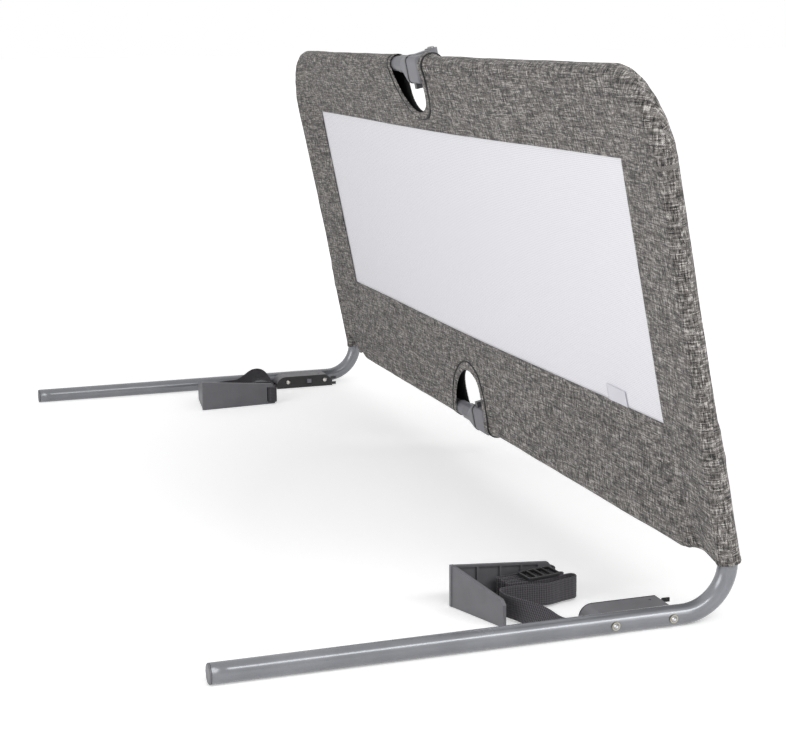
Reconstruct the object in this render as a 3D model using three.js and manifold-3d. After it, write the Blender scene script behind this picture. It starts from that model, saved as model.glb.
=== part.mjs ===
// Folding bed guard rail: two hinged half frames in a fabric cover, standing on two pull-off legs.
// Millimetres, +Z up. X runs along the rail, the legs reach out towards -Y, and the floor is at zero.
import * as THREE from 'three';
import { mergeVertices } from 'three/addons/utils/BufferGeometryUtils.js';
import Module from 'manifold-3d';

const wasm = await Module();
wasm.setup();

// Overall sizes
const HALF_WIDTH = 589;
const LEAN_DEG = 11.1;
const LEG_REACH = 500;
const TOP_HEIGHT = 497;
const RAIL_HEIGHT = 46;
const RAIL_END_INSET = 74;
const RAIL_REACH = HALF_WIDTH - RAIL_END_INSET;
const FOLD_X = -35;
const PIVOT_DEPTH = 22;

// Clearances
const RUNNING_GAP = 0.3;
const HALF_SPLIT = 0.4;
const OVERRUN = 2;

// Tubes
const LEG_RADIUS = 9.5;
const FRAME_RADIUS = 8;
const TUBE_WALL = 1.2;
const LEG_BEND_RADIUS = 45;
const CORNER_RADIUS = 80;
const LEG_TOP = 179;
const FRAME_PLUG_END = 115;
const TUBE_SIDES = 16;
const BEND_STEPS = 7;

// Snap caps that hold the legs on
const SNAP_HEIGHT = 147;
const SNAP_RADIUS = 3.2;
const SNAP_STAND = 1.4;
const SNAP_FLANGE_RADIUS = 4;
const SNAP_FLANGE_START = 4.2;
const SNAP_FLANGE_END = 5;
const SNAP_CROWN_share = 0.7;
const SNAP_LEAF_WIDTH = 5;
const SNAP_LEAF_THICKNESS = 0.6;
const SNAP_LEAF_PAD = 5;
const SNAP_LEAF_LENGTH = 21;

// Leg end plugs and rail end plugs
const PLUG_FLANGE = 2;
const PLUG_DEPTH = 14;
const PLUG_LIP_CHAMFER = 0.8;

// Centre hinges
const HINGE = {
  outer: 12,
  inner: 21,
  front: 13,
  back: 13,
  corner: 6,
  length: 75,
  blockEnd: 35,
  blockDrawnIn: 45,
  flareStart: 5,
  flareEnd: 29,
  collar: 11,
  stepStart: 48,
  stepEnd: 51,
  neck: 9.5,
  tubeStart: 18,
  wall: 1.7,
  lugRadius: 7.5,
  lugHalfHeight: 9,
  lugOuter: 15,
  armWidth: 12,
  pinRadius: 2.5,
  pinHead: 4.2,
  pinHeadHeight: 1.6,
  rollPinPlace: 70,
  rollPinRadius: 1.5,
  rollPinHalfLength: 9.2,
};

// Release button with its catch plate, tongue and spring
const CATCH = {
  plateStart: 2.2,
  plateThickness: 3,
  plateFront: -11,
  plateBack: 1,
  plateTop: 7.6,
  barWidth: 2,
  windowTop: 4.3,
  windowBottom: -5.3,
  tongueReach: 7.4,
  tongueFront: -7.8,
  tongueBack: -1.3,
  tongueTop: 4,
  tongueBottom: -1.3,
  lipTop: 6.4,
  lipLength: 1.8,
  swingRoom: 1.2,
  padStart: 6.6,
  padLength: 7.2,
  padDepth: 8,
  padStand: 6.5,
  padFloor: 2,
  bridgeHeight: 2.7,
  travel: 3,
  ledge: -3.2,
  springRadius: 2,
  springWire: 0.5,
  springTurns: 5,
};

// Strap housings on the legs
const HOUSING = {
  start: -144,
  end: -57,
  depth: 35,
  height: 17.6,
  saddleStart: 3,
  saddleWall: 1.4,
  plate: 2,
  floor: 1.6,
  roundedCorner: 13,
  chamfer: 9,
  mouthShoulder: 1.8,
  mouthTop: 6.4,
  prongLength: 6,
  prongHeight: 4,
  prongLevels: [1.5, 10],
  ventRadius: 1.5,
  ventPlace: -76,
  ventAcross: 25,
};
const BOLT_PLACES = [-127, -69];
const BOLT_NAMES = ['outer', 'inner'];
const BOLT = {
  radius: 2,
  head: 2.8,
  headHeight: 1.6,
  washer: 4.2,
  washerHeight: 0.9,
  nut: 3.2,
  nutHeight: 3,
  crown_share: 0.6,
};
const LOCK = {
  place: -93.5,
  size: 6.4,
  length: 14,
  stand: 0.6,
  footDrop: 1.5,
  footLength: 5,
  travel: 2.5,
  springRadius: 2,
  springWire: 0.5,
  springTurns: 4,
};

// Webbing straps
const WEBBING_WIDTH = 22;
const WEBBING_THICKNESS = 1.4;
const STRAP_LIFT = 0.3;
const STRAP_LEVEL = 3.4;
const STRAP_ACROSS = 21.6;
const STRAP_TAIL_Y = -88;
const STRAP_STEPS = 40;

// Anchor plates at the strap ends
const ANCHOR = {
  longFlange: 110,
  shortFlange: 78,
  angleDeg: 78,
  cornerHeight: 41,
  longEndHeight: 29,
  shortEndHeight: 25,
  thickness: 4,
  rim: 2.2,
  ribThickness: 2,
  pocketDepth: 2.2,
  slotPlace: 98,
  slotLength: 5.6,
  endChamfer: 4,
  rib_shares: [0.3, 0.56, 0.8],
};

// Where each anchor's outer corner lies on the floor: in from its leg, along Y, and how far it is turned
const ANCHOR_PLACES = {
  right: { inset: 119, along: -240, turnDeg: 7 },
  left: { inset: 140, along: -282, turnDeg: 5 },
};

// The folded webbing beside each anchor's long flange
const BUNDLE = {
  offset: 1.7,
  tail: 20,
  first: 8.6,
  pitch: 4.4,
  layers: 7,
  low: 48,
  high: 118,
  bulge: 7,
  stepsPerLayer: 4,
  samples: 150,
  sameFold: 4.4,
};

// Middles of the free strap runs, measured in from the leg, each with the way the webbing's width points
const FREE_STRAP = {
  right: [
    [[83, -202, 13.5], [0, 0, 1]],
    [[69, -204, 13.2], [0, 0, 1]],
    [[54, -197, 12.8], [-0.05, 0, 1]],
    [[38, -183, 9.6], [-0.6, 0.1, 0.8]],
    [[26, -166, 5], [-0.95, 0.1, 0.3]],
  ],
  left: [
    [[96, -253, 13.5], [0, 0, 1]],
    [[81, -256, 13.5], [0, 0, 1]],
    [[66, -243, 13.5], [0, 0, 1]],
    [[56, -218, 13.6], [0.1, 0, 1]],
    [[50, -194, 17], [0.1, 0.5, 0.85]],
    [[46, -177, 31], [0, 0.9, 0.4]],
    [[38, -166, 38], [-0.1, 1, 0]],
    [[30, -158, 29], [-0.5, 0.9, 0]],
    [[24, -151, 13], [-0.8, 0.6, 0]],
  ],
};

// Fabric cover and mesh window
const FABRIC = 1.2;
const FABRIC_GAP = 0.3;
const WEB_HALF_THICKNESS = 1.7;
const TOP_BAND = 77;
const BOTTOM_BAND = 115;
const SIDE_BAND = 89;
const SLEEVE_LIFT = 12;
const SLEEVE_END = RAIL_HEIGHT + SLEEVE_LIFT;
const MESH_HALF_WIDTH = HALF_WIDTH - SIDE_BAND;
const MESH_BOTTOM = RAIL_HEIGHT + BOTTOM_BAND;
const MESH_TOP = TOP_HEIGHT - TOP_BAND;
const MESH_THICKNESS = 0.8;
const CUTOUT_TOP = { middle: FOLD_X - 7, halfWidth: 60, depth: 56 };
const CUTOUT_BOTTOM = { middle: FOLD_X - 9, halfWidth: 62, depth: 67 };
const CUTOUT_PAST = 20;
const BAND_SEAM = 6;
const CUTOUT_STEPS = 20;

// The hem's rise to the sleeve's end: share of the way out, share of the way up
const HEM_SHARES = [[0.905, 1], [0.689, 0.503], [0.338, 0.08], [0.054, 0]];
const LABEL = { inset: 58, width: 66, overlap: 6, rise: 28, thickness: 0.4 };

const lean = THREE.MathUtils.degToRad(LEAN_DEG);
const up = new THREE.Vector3(0, -Math.sin(lean), Math.cos(lean));

// Materials, one for each kind of surface
const paint = (color, roughness, metalness) => new THREE.MeshStandardMaterial({ color, roughness, metalness });
const MATERIALS = {
  tube: paint(0x8d9095, 0.38, 0.55),
  plastic: paint(0x77777c, 0.55, 0),
  darkPlastic: paint(0x232325, 0.5, 0),
  zinc: paint(0xc9c8c2, 0.25, 0.95),
  steel: paint(0x9a9a98, 0.3, 0.9),
  webbing: paint(0x2c2a2c, 0.95, 0),
  fabric: paint(0x6d6b69, 0.95, 0),
  mesh: paint(0xe6e5ec, 0.8, 0),
};

// Turn a geometry into a solid for cutting and joining, and back again
function solidOf(geometry) {
  const bare = geometry.clone();
  bare.deleteAttribute('normal');
  bare.deleteAttribute('uv');
  const merged = mergeVertices(bare, LEG_RADIUS * 1e-6);
  const vertProperties = new Float32Array(merged.attributes.position.array);
  const triVerts = new Uint32Array(merged.index.array);
  return new wasm.Manifold(new wasm.Mesh({ numProp: 3, vertProperties, triVerts }));
}

function geometryOf(solid) {
  const mesh = solid.getMesh();
  const geometry = new THREE.BufferGeometry();
  geometry.setAttribute('position', new THREE.BufferAttribute(new Float32Array(mesh.vertProperties), 3));
  geometry.setIndex(new THREE.BufferAttribute(new Uint32Array(mesh.triVerts), 1));
  return geometry;
}

function joined(...geometries) {
  return geometryOf(geometries.map(solidOf).reduce((all, next) => all.add(next)));
}

function cut(geometry, ...tools) {
  return geometryOf(tools.map(solidOf).reduce((rest, tool) => rest.subtract(tool), solidOf(geometry)));
}

// Basic closed shapes
function box(x0, x1, y0, y1, z0, z1) {
  const geometry = new THREE.BoxGeometry(Math.abs(x1 - x0), Math.abs(y1 - y0), Math.abs(z1 - z0));
  return geometry.translate((x0 + x1) / 2, (y0 + y1) / 2, (z0 + z1) / 2);
}

function turned(points, from, to, sides) {
  const axis = to.clone().sub(from).normalize();
  const profile = points.map(([radius, along]) => new THREE.Vector2(radius, along));
  const geometry = new THREE.LatheGeometry(profile, sides);
  geometry.applyQuaternion(new THREE.Quaternion().setFromUnitVectors(new THREE.Vector3(0, 1, 0), axis));
  return geometry.translate(from.x, from.y, from.z);
}

function rod(radius, from, to, sides = 16) {
  const length = from.distanceTo(to);
  return turned([[0, 0], [radius, 0], [radius, length], [0, length]], from, to, sides);
}

function mirrored(geometry) {
  const copy = geometry.index ? geometry.toNonIndexed() : geometry.clone();
  const place = copy.attributes.position;
  for (let i = 0; i < place.count; i += 3) {
    const corners = [0, 1, 2].map((k) => new THREE.Vector3().fromBufferAttribute(place, i + k));
    [corners[0], corners[2], corners[1]].forEach((p, k) => place.setXYZ(i + k, -p.x, p.y, p.z));
  }
  copy.deleteAttribute('normal');
  copy.deleteAttribute('uv');
  return copy;
}

// A path through given stations, so that straight runs cost one step and bends cost several
class StationPath extends THREE.Curve {
  constructor(stations) {
    super();
    this.stations = stations;
  }

  getPoint(t, target = new THREE.Vector3()) {
    const last = this.stations.length - 1;
    const place = Math.min(Math.max(t, 0), 1) * last;
    const from = Math.min(Math.floor(place), last - 1);
    return target.lerpVectors(this.stations[from], this.stations[from + 1], place - from);
  }

  getPointAt(t, target) {
    return this.getPoint(t, target);
  }

  getTangentAt(t, target = new THREE.Vector3()) {
    const last = this.stations.length - 1;
    const here = Math.round(t * last);
    const before = this.stations[Math.max(here - 1, 0)];
    const after = this.stations[Math.min(here + 1, last)];
    const at = this.stations[here];
    const into = at.clone().sub(before).normalize();
    const out = after.clone().sub(at).normalize();
    return target.copy(into.add(out)).normalize();
  }
}

// The stations of a straight-sided path whose middle corner is rounded
function roundedPath(from, corner, to, radius, steps) {
  const into = corner.clone().sub(from).normalize();
  const out = to.clone().sub(corner).normalize();
  const turn = into.angleTo(out);
  const start = corner.clone().addScaledVector(into, -radius * Math.tan(turn / 2));
  const inward = out.clone().addScaledVector(into, -out.dot(into)).normalize();
  const stations = [from];
  for (let k = 0; k <= steps; k += 1) {
    const angle = (turn * k) / steps;
    const point = start.clone().addScaledVector(into, radius * Math.sin(angle));
    stations.push(point.addScaledVector(inward, radius * (1 - Math.cos(angle))));
  }
  stations.push(to);
  return stations;
}

function circleShape(radius, sides) {
  const points = [];
  for (let k = 0; k < sides; k += 1) {
    const angle = (2 * Math.PI * k) / sides;
    points.push(new THREE.Vector2(radius * Math.cos(angle), radius * Math.sin(angle)));
  }
  return points;
}

function swept(shape, stations) {
  const steps = stations.length - 1;
  return new THREE.ExtrudeGeometry(shape, { steps, bevelEnabled: false, extrudePath: new StationPath(stations) });
}

function tubeAlong(stations, radius, bore, sides = TUBE_SIDES) {
  const shape = new THREE.Shape(circleShape(radius, sides));
  if (bore > 0) {
    shape.holes.push(new THREE.Path(circleShape(bore, sides).reverse()));
  }
  return swept(shape, stations);
}

// A closed skin over rings of equally many points, each ring given in order
function loft(rings) {
  const count = rings[0].length;
  const points = rings.flat();
  const faces = [];
  for (let r = 0; r + 1 < rings.length; r += 1) {
    for (let k = 0; k < count; k += 1) {
      const a = r * count + k;
      const b = r * count + ((k + 1) % count);
      faces.push(a, b, b + count, a, b + count, a + count);
    }
  }
  const last = (rings.length - 1) * count;
  for (let k = 1; k + 1 < count; k += 1) {
    faces.push(0, k + 1, k);
    faces.push(last, last + k, last + k + 1);
  }
  const geometry = new THREE.BufferGeometry().setFromPoints(points);
  geometry.setIndex(faces);
  return geometry;
}

function spring(radius, wire, turns, from, to) {
  const axis = to.clone().sub(from);
  const length = axis.length();
  const turner = new THREE.Quaternion().setFromUnitVectors(new THREE.Vector3(0, 0, 1), axis.normalize());
  const stations = [];
  const stepsPerTurn = 8;
  for (let k = 0; k <= turns * stepsPerTurn; k += 1) {
    const angle = (2 * Math.PI * k) / stepsPerTurn;
    const along = wire + ((length - 2 * wire) * k) / (turns * stepsPerTurn);
    const point = new THREE.Vector3(radius * Math.cos(angle), radius * Math.sin(angle), along);
    stations.push(point.applyQuaternion(turner).add(from));
  }
  return tubeAlong(stations, wire, 0, 5);
}

// The scene graph: the floor frame, and the leaning panel inside it
const guard = new THREE.Group();
const panel = new THREE.Group();
panel.position.z = LEG_RADIUS;
panel.rotation.x = lean;
guard.add(panel);

function add(parent, name, geometry, material) {
  const mesh = new THREE.Mesh(geometry, MATERIALS[material]);
  mesh.name = name;
  parent.add(mesh);
  return mesh;
}

const sideName = (side) => (side > 0 ? 'right' : 'left');
const v = (x, y, z) => new THREE.Vector3(x, y, z);

// Frame tubes: the upper tube bends down into an upright that plugs into the leg
const frameBore = FRAME_RADIUS - TUBE_WALL;
const legBore = FRAME_RADIUS + RUNNING_GAP;

function upperTubeStations(side, start, end) {
  const corner = v(side * HALF_WIDTH, 0, TOP_HEIGHT);
  return roundedPath(v(start, 0, TOP_HEIGHT), corner, v(side * HALF_WIDTH, 0, end), CORNER_RADIUS, BEND_STEPS);
}

function snapHole(side, radius) {
  const from = v(side * HALF_WIDTH, 0, SNAP_HEIGHT);
  const to = v(side * (HALF_WIDTH + LEG_RADIUS + OVERRUN), 0, SNAP_HEIGHT);
  return rod(radius, from, to, 16);
}

function rollPinHole(x, z) {
  const reach = HINGE.front + OVERRUN;
  return rod(HINGE.rollPinRadius + RUNNING_GAP, v(x, -reach, z), v(x, reach, z), 12);
}

function addFrame(side) {
  const name = sideName(side);
  const start = FOLD_X + side * HINGE.tubeStart;
  const pinX = FOLD_X + side * HINGE.rollPinPlace;
  const tube = tubeAlong(upperTubeStations(side, start, FRAME_PLUG_END), FRAME_RADIUS, frameBore);
  const drilled = cut(tube, snapHole(side, SNAP_RADIUS + RUNNING_GAP), rollPinHole(pinX, TOP_HEIGHT));
  add(panel, `upper_tube_${name}`, drilled, 'tube');
  const railEnd = v(side * RAIL_REACH, 0, RAIL_HEIGHT);
  const rail = tubeAlong([v(start, 0, RAIL_HEIGHT), railEnd], FRAME_RADIUS, frameBore);
  add(panel, `lower_rail_${name}`, cut(rail, rollPinHole(pinX, RAIL_HEIGHT)), 'tube');
  const plug = endPlug(FRAME_RADIUS, frameBore, railEnd, v(side, 0, 0));
  add(panel, `rail_plug_${name}`, plug, 'darkPlastic');
}

// A push-in plug: a flange over the tube's end and a plug inside it
function endPlug(radius, bore, end, outward) {
  const inside = end.clone().addScaledVector(outward, -PLUG_DEPTH);
  const shank = bore - RUNNING_GAP;
  const profile = [
    [0, 0],
    [shank, 0],
    [shank, PLUG_DEPTH + RUNNING_GAP],
    [radius, PLUG_DEPTH + RUNNING_GAP],
    [radius, PLUG_DEPTH + PLUG_FLANGE - PLUG_LIP_CHAMFER],
    [radius - PLUG_LIP_CHAMFER, PLUG_DEPTH + PLUG_FLANGE],
    [0, PLUG_DEPTH + PLUG_FLANGE],
  ];
  return turned(profile, inside, end, TUBE_SIDES);
}

// Legs: a floor tube bent up over the frame's lower end
function legStations(side) {
  const x = side * HALF_WIDTH;
  const tip = v(x, -LEG_REACH + PLUG_FLANGE, LEG_RADIUS);
  const corner = v(x, 0, LEG_RADIUS);
  return roundedPath(tip, corner, corner.clone().addScaledVector(up, LEG_TOP), LEG_BEND_RADIUS, BEND_STEPS);
}

function boltHole(side, y, radius) {
  const from = v(side * (HALF_WIDTH - HOUSING.depth - OVERRUN), y, LEG_RADIUS);
  return rod(radius, from, v(side * (HALF_WIDTH + LEG_RADIUS + OVERRUN), y, LEG_RADIUS), 12);
}

function leanedSnapHole(side, radius) {
  const middle = v(side * HALF_WIDTH, 0, LEG_RADIUS).addScaledVector(up, SNAP_HEIGHT);
  const outside = middle.clone().add(v(side * (LEG_RADIUS + OVERRUN), 0, 0));
  return rod(radius, middle, outside, 16);
}

function addLeg(side) {
  const name = sideName(side);
  const holes = BOLT_PLACES.map((y) => boltHole(side, y, BOLT.radius + RUNNING_GAP));
  const tube = tubeAlong(legStations(side), LEG_RADIUS, legBore);
  add(guard, `leg_tube_${name}`, cut(tube, leanedSnapHole(side, SNAP_RADIUS + RUNNING_GAP), ...holes), 'tube');
  const tip = v(side * HALF_WIDTH, -LEG_REACH + PLUG_FLANGE, LEG_RADIUS);
  add(guard, `leg_plug_${name}`, endPlug(LEG_RADIUS, legBore, tip, v(0, -1, 0)), 'plastic');
}

// Snap caps in the legs, each pushed out by a leaf spring in the frame tube
function addSnap(side) {
  const name = sideName(side);
  const top = LEG_RADIUS + SNAP_STAND - SNAP_FLANGE_START;
  const flange = SNAP_FLANGE_END - SNAP_FLANGE_START;
  const profile = [
    [0, 0],
    [SNAP_FLANGE_RADIUS, 0],
    [SNAP_FLANGE_RADIUS, flange],
    [SNAP_RADIUS, flange],
    [SNAP_RADIUS, top - SNAP_STAND / 2],
    [SNAP_RADIUS * SNAP_CROWN_share, top],
    [0, top],
  ];
  const middle = v(side * HALF_WIDTH, 0, SNAP_HEIGHT);
  const base = middle.clone().add(v(side * SNAP_FLANGE_START, 0, 0));
  add(panel, `snap_cap_${name}`, turned(profile, base, base.clone().add(v(side, 0, 0)), 16), 'zinc');
  const near = SNAP_FLANGE_START - RUNNING_GAP;
  const far = -frameBore + 3 * RUNNING_GAP;
  const thick = SNAP_LEAF_THICKNESS;
  const outline = [
    [near, SNAP_LEAF_PAD],
    [near - thick, SNAP_LEAF_PAD],
    [near - thick, -SNAP_LEAF_PAD],
    [-thick, -SNAP_LEAF_LENGTH + 2 * thick],
    [far + thick, SNAP_LEAF_PAD],
    [far, SNAP_LEAF_PAD],
    [-2 * thick, -SNAP_LEAF_LENGTH],
    [0, -SNAP_LEAF_LENGTH],
    [near, -SNAP_LEAF_PAD],
  ];
  const shape = new THREE.Shape(outline.map(([x, z]) => new THREE.Vector2(x, z)));
  const leaf = new THREE.ExtrudeGeometry(shape, { depth: SNAP_LEAF_WIDTH, bevelEnabled: false });
  leaf.rotateX(Math.PI / 2).translate(0, SNAP_LEAF_WIDTH / 2, 0);
  const facing = side > 0 ? leaf : mirrored(leaf);
  add(panel, `snap_spring_${name}`, facing.translate(middle.x, 0, middle.z), 'steel');
}

// Centre hinges. Each is drawn about its own middle: x from the fold, y to the back, z to the outer edge.
const LUG_LEVELS = {
  middle: [[-HINGE.lugHalfHeight + RUNNING_GAP, HINGE.lugHalfHeight - RUNNING_GAP]],
  ends: [[-HINGE.lugOuter, -HINGE.lugHalfHeight], [HINGE.lugHalfHeight, HINGE.lugOuter]],
};

function hingeRing(x, outer, inner, front, back, corner) {
  const ring = [];
  const corners = [
    [back - corner, outer - corner, 0],
    [-front + corner, outer - corner, 1],
    [-front + corner, -inner + corner, 2],
    [back - corner, -inner + corner, 3],
  ];
  const stepsPerCorner = 4;
  for (const [y, z, quarter] of corners) {
    for (let k = 0; k < stepsPerCorner; k += 1) {
      const angle = (Math.PI / 2) * (quarter + k / (stepsPerCorner - 1));
      ring.push(v(x, y + corner * Math.cos(angle), z + corner * Math.sin(angle)));
    }
  }
  return ring;
}

// The body of one hinge half: full size at the split, then a collar and a neck round the tube
function hingeShell(side, stations) {
  const mix = (full, size) => HINGE.collar + (full - HINGE.collar) * size;
  const rings = stations.map(([along, size]) => hingeRing(
    side * along,
    mix(HINGE.outer, size),
    mix(HINGE.inner, size),
    mix(HINGE.front, size),
    mix(HINGE.back, size),
    mix(HINGE.corner, size),
  ));
  const neck = (along) => hingeRing(side * along, ...Array(5).fill(HINGE.neck));
  rings.push(neck(HINGE.stepEnd), neck(HINGE.length));
  return loft(side > 0 ? rings : rings.reverse());
}

function hingeLugs(side, levels) {
  return levels.map(([low, high]) => {
    const knuckle = rod(HINGE.lugRadius, v(0, PIVOT_DEPTH, low), v(0, PIVOT_DEPTH, high), 16);
    const root = HINGE.back - HINGE.wall;
    const near = side * HALF_SPLIT;
    if (high < HINGE.lugOuter) {
      return joined(knuckle, box(near, side * HINGE.lugRadius, root, PIVOT_DEPTH, low, high));
    }
    const ramp = new THREE.Shape([
      new THREE.Vector2(-HINGE.front + HINGE.corner, HINGE.outer - HINGE.wall),
      new THREE.Vector2(root, low),
      new THREE.Vector2(PIVOT_DEPTH, low),
      new THREE.Vector2(PIVOT_DEPTH, high),
      new THREE.Vector2(-HINGE.front + HINGE.corner, HINGE.outer),
    ]);
    const arm = new THREE.ExtrudeGeometry(ramp, { depth: HINGE.armWidth - HALF_SPLIT, bevelEnabled: false });
    arm.applyMatrix4(new THREE.Matrix4().set(0, 0, 1, near, 1, 0, 0, 0, 0, 1, 0, 0, 0, 0, 0, 1));
    return joined(knuckle, arm);
  });
}

const pinBore = rod(
  HINGE.pinRadius + RUNNING_GAP,
  v(0, PIVOT_DEPTH, -HINGE.lugOuter - OVERRUN),
  v(0, PIVOT_DEPTH, HINGE.lugOuter + OVERRUN),
);

function tubeSocket(side) {
  const from = v(side * (HINGE.tubeStart - RUNNING_GAP), 0, 0);
  return rod(FRAME_RADIUS + RUNNING_GAP, from, v(side * (HINGE.length + OVERRUN), 0, 0), TUBE_SIDES);
}

const plateEnd = CATCH.plateStart + CATCH.plateThickness;
const padEnd = CATCH.padStart + CATCH.padLength;
const padX = (CATCH.padStart + padEnd) / 2;
const padMiddleY = (CATCH.plateFront + CATCH.plateBack) / 2;
const padFront = padMiddleY - CATCH.padDepth / 2;
const padBack = padMiddleY + CATCH.padDepth / 2;
const padBottom = -HINGE.inner - CATCH.padStand;
const bridgeBottom = -HINGE.inner + HINGE.wall + RUNNING_GAP;
const bridgeTop = bridgeBottom + CATCH.bridgeHeight;

function catchBody() {
  const gap = RUNNING_GAP;
  const block = [[HALF_SPLIT, 1], [HINGE.blockEnd, 1], [HINGE.blockDrawnIn, 0], [HINGE.stepStart, 0]];
  const shell = joined(hingeShell(1, block), ...hingeLugs(1, LUG_LEVELS.ends));
  const slideway = box(
    CATCH.plateStart - gap,
    plateEnd + gap,
    CATCH.plateFront - gap,
    CATCH.plateBack + gap,
    bridgeBottom - gap,
    CATCH.plateTop + CATCH.travel + gap,
  );
  const tongueWay = box(
    -OVERRUN,
    CATCH.tongueReach + gap,
    CATCH.tongueFront - CATCH.swingRoom,
    CATCH.tongueBack + gap,
    CATCH.tongueBottom - gap,
    CATCH.lipTop + gap,
  );
  const bridgeWay = box(
    CATCH.plateStart - gap,
    padEnd + gap,
    padFront - gap,
    padBack + gap,
    bridgeBottom - gap,
    bridgeTop + CATCH.travel + gap,
  );
  const padWay = box(
    CATCH.padStart - gap,
    padEnd + gap,
    padFront - gap,
    padBack + gap,
    -HINGE.inner - OVERRUN,
    CATCH.ledge,
  );
  const pinHole = rollPinHole(HINGE.rollPinPlace, 0);
  return cut(shell, slideway, tongueWay, bridgeWay, padWay, pinBore, tubeSocket(1), pinHole);
}

function tongueBody() {
  const flare = [[HALF_SPLIT, 1], [HINGE.flareStart, 1], [HINGE.flareEnd, 0], [HINGE.stepStart, 0]];
  const tongue = box(
    -HINGE.wall,
    CATCH.tongueReach,
    CATCH.tongueFront,
    CATCH.tongueBack,
    CATCH.tongueBottom,
    CATCH.tongueTop,
  );
  const lip = box(
    CATCH.tongueReach - CATCH.lipLength,
    CATCH.tongueReach,
    CATCH.tongueFront,
    CATCH.tongueBack,
    CATCH.tongueTop - HINGE.wall,
    CATCH.lipTop,
  );
  const shell = joined(hingeShell(-1, flare), ...hingeLugs(-1, LUG_LEVELS.middle), tongue, lip);
  const pinHole = rollPinHole(-HINGE.rollPinPlace, 0);
  return cut(shell, pinBore, tubeSocket(-1), pinHole);
}

function releaseButton() {
  const plate = box(
    CATCH.plateStart,
    plateEnd,
    CATCH.plateFront,
    CATCH.plateBack,
    bridgeBottom,
    CATCH.plateTop,
  );
  const window = box(
    CATCH.plateStart - OVERRUN,
    plateEnd + OVERRUN,
    CATCH.plateFront + CATCH.barWidth,
    CATCH.plateBack - CATCH.barWidth,
    CATCH.windowBottom,
    CATCH.windowTop,
  );
  const bridge = box(CATCH.plateStart, padEnd, padFront, padBack, bridgeBottom, bridgeTop);
  const pad = box(CATCH.padStart, padEnd, padFront, padBack, padBottom, bridgeTop);
  const room = CATCH.springRadius + CATCH.springWire + RUNNING_GAP;
  const well = rod(room, v(padX, padMiddleY, padBottom + CATCH.padFloor), v(padX, padMiddleY, 0));
  return cut(joined(plate, bridge, pad), window, well);
}

function releaseSpring() {
  const from = v(padX, padMiddleY, padBottom + CATCH.padFloor + RUNNING_GAP);
  const to = v(padX, padMiddleY, CATCH.ledge - RUNNING_GAP);
  return spring(CATCH.springRadius, CATCH.springWire, CATCH.springTurns, from, to);
}

function hingePin() {
  const end = HINGE.lugOuter + RUNNING_GAP;
  const head = HINGE.pinHead;
  const top = end + HINGE.pinHeadHeight;
  const profile = [
    [0, -top],
    [head - HINGE.pinHeadHeight / 2, -top],
    [head, -end - HINGE.pinHeadHeight / 2],
    [head, -end],
    [HINGE.pinRadius, -end],
    [HINGE.pinRadius, end],
    [head, end],
    [head, end + HINGE.pinHeadHeight / 2],
    [head - HINGE.pinHeadHeight / 2, top],
    [0, top],
  ];
  return turned(profile, v(0, PIVOT_DEPTH, 0), v(0, PIVOT_DEPTH, 1), 16);
}

function rollPin(side) {
  const x = side * HINGE.rollPinPlace;
  const half = HINGE.rollPinHalfLength;
  return rod(HINGE.rollPinRadius, v(x, -half, 0), v(x, half, 0), 12);
}

function addHinge(level, height, flip) {
  const place = (geometry) => {
    const turnedOver = flip ? geometry.clone().scale(1, 1, -1) : geometry;
    const facing = flip ? reversed(turnedOver) : turnedOver;
    return facing.translate(FOLD_X, 0, height);
  };
  add(panel, `${level}_hinge_catch_body`, place(catchBody()), 'plastic');
  add(panel, `${level}_hinge_tongue_body`, place(tongueBody()), 'plastic');
  add(panel, `${level}_hinge_pin`, place(hingePin()), 'steel');
  add(panel, `${level}_release_button`, place(releaseButton()), 'darkPlastic');
  add(panel, `${level}_release_spring`, place(releaseSpring()), 'steel');
  add(panel, `${level}_roll_pin_right`, place(rollPin(1)), 'steel');
  add(panel, `${level}_roll_pin_left`, place(rollPin(-1)), 'steel');
}

function reversed(geometry) {
  const copy = geometry.index ? geometry.toNonIndexed() : geometry.clone();
  const place = copy.attributes.position;
  for (let i = 0; i < place.count; i += 3) {
    const second = new THREE.Vector3().fromBufferAttribute(place, i + 1);
    const third = new THREE.Vector3().fromBufferAttribute(place, i + 2);
    place.setXYZ(i + 1, third.x, third.y, third.z);
    place.setXYZ(i + 2, second.x, second.y, second.z);
  }
  copy.deleteAttribute('normal');
  copy.deleteAttribute('uv');
  return copy;
}

// Fabric cover: a hollow sleeve that narrows into a web, swept round each half frame
const sleeveInner = LEG_RADIUS + FABRIC_GAP;
const sleeveOuter = sleeveInner + FABRIC;

function teardrop(radius, tail, halfThickness) {
  const points = [];
  const steps = 16;
  const opening = Math.acos(radius / tail);
  for (let k = 0; k <= steps; k += 1) {
    const angle = opening + ((2 * Math.PI - 2 * opening) * k) / steps;
    points.push(new THREE.Vector2(radius * Math.cos(angle), radius * Math.sin(angle)));
  }
  points.push(new THREE.Vector2(tail, -halfThickness), new THREE.Vector2(tail, halfThickness));
  return new THREE.Shape(points);
}

function cutoutTool(level, { middle, halfWidth, depth }) {
  const inward = level > (TOP_HEIGHT + RAIL_HEIGHT) / 2 ? -1 : 1;
  const points = [new THREE.Vector2(halfWidth, -inward * CUTOUT_PAST)];
  for (let k = 0; k <= CUTOUT_STEPS; k += 1) {
    const angle = (Math.PI * k) / CUTOUT_STEPS;
    points.push(new THREE.Vector2(halfWidth * Math.cos(angle), inward * depth * Math.sin(angle)));
  }
  points.push(new THREE.Vector2(-halfWidth, -inward * CUTOUT_PAST));
  const shape = new THREE.Shape(inward > 0 ? points : points.reverse());
  const half = sleeveOuter + OVERRUN;
  const tool = new THREE.ExtrudeGeometry(shape, { depth: 2 * half, bevelEnabled: false });
  return tool.rotateX(Math.PI / 2).translate(middle, half, level);
}

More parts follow.
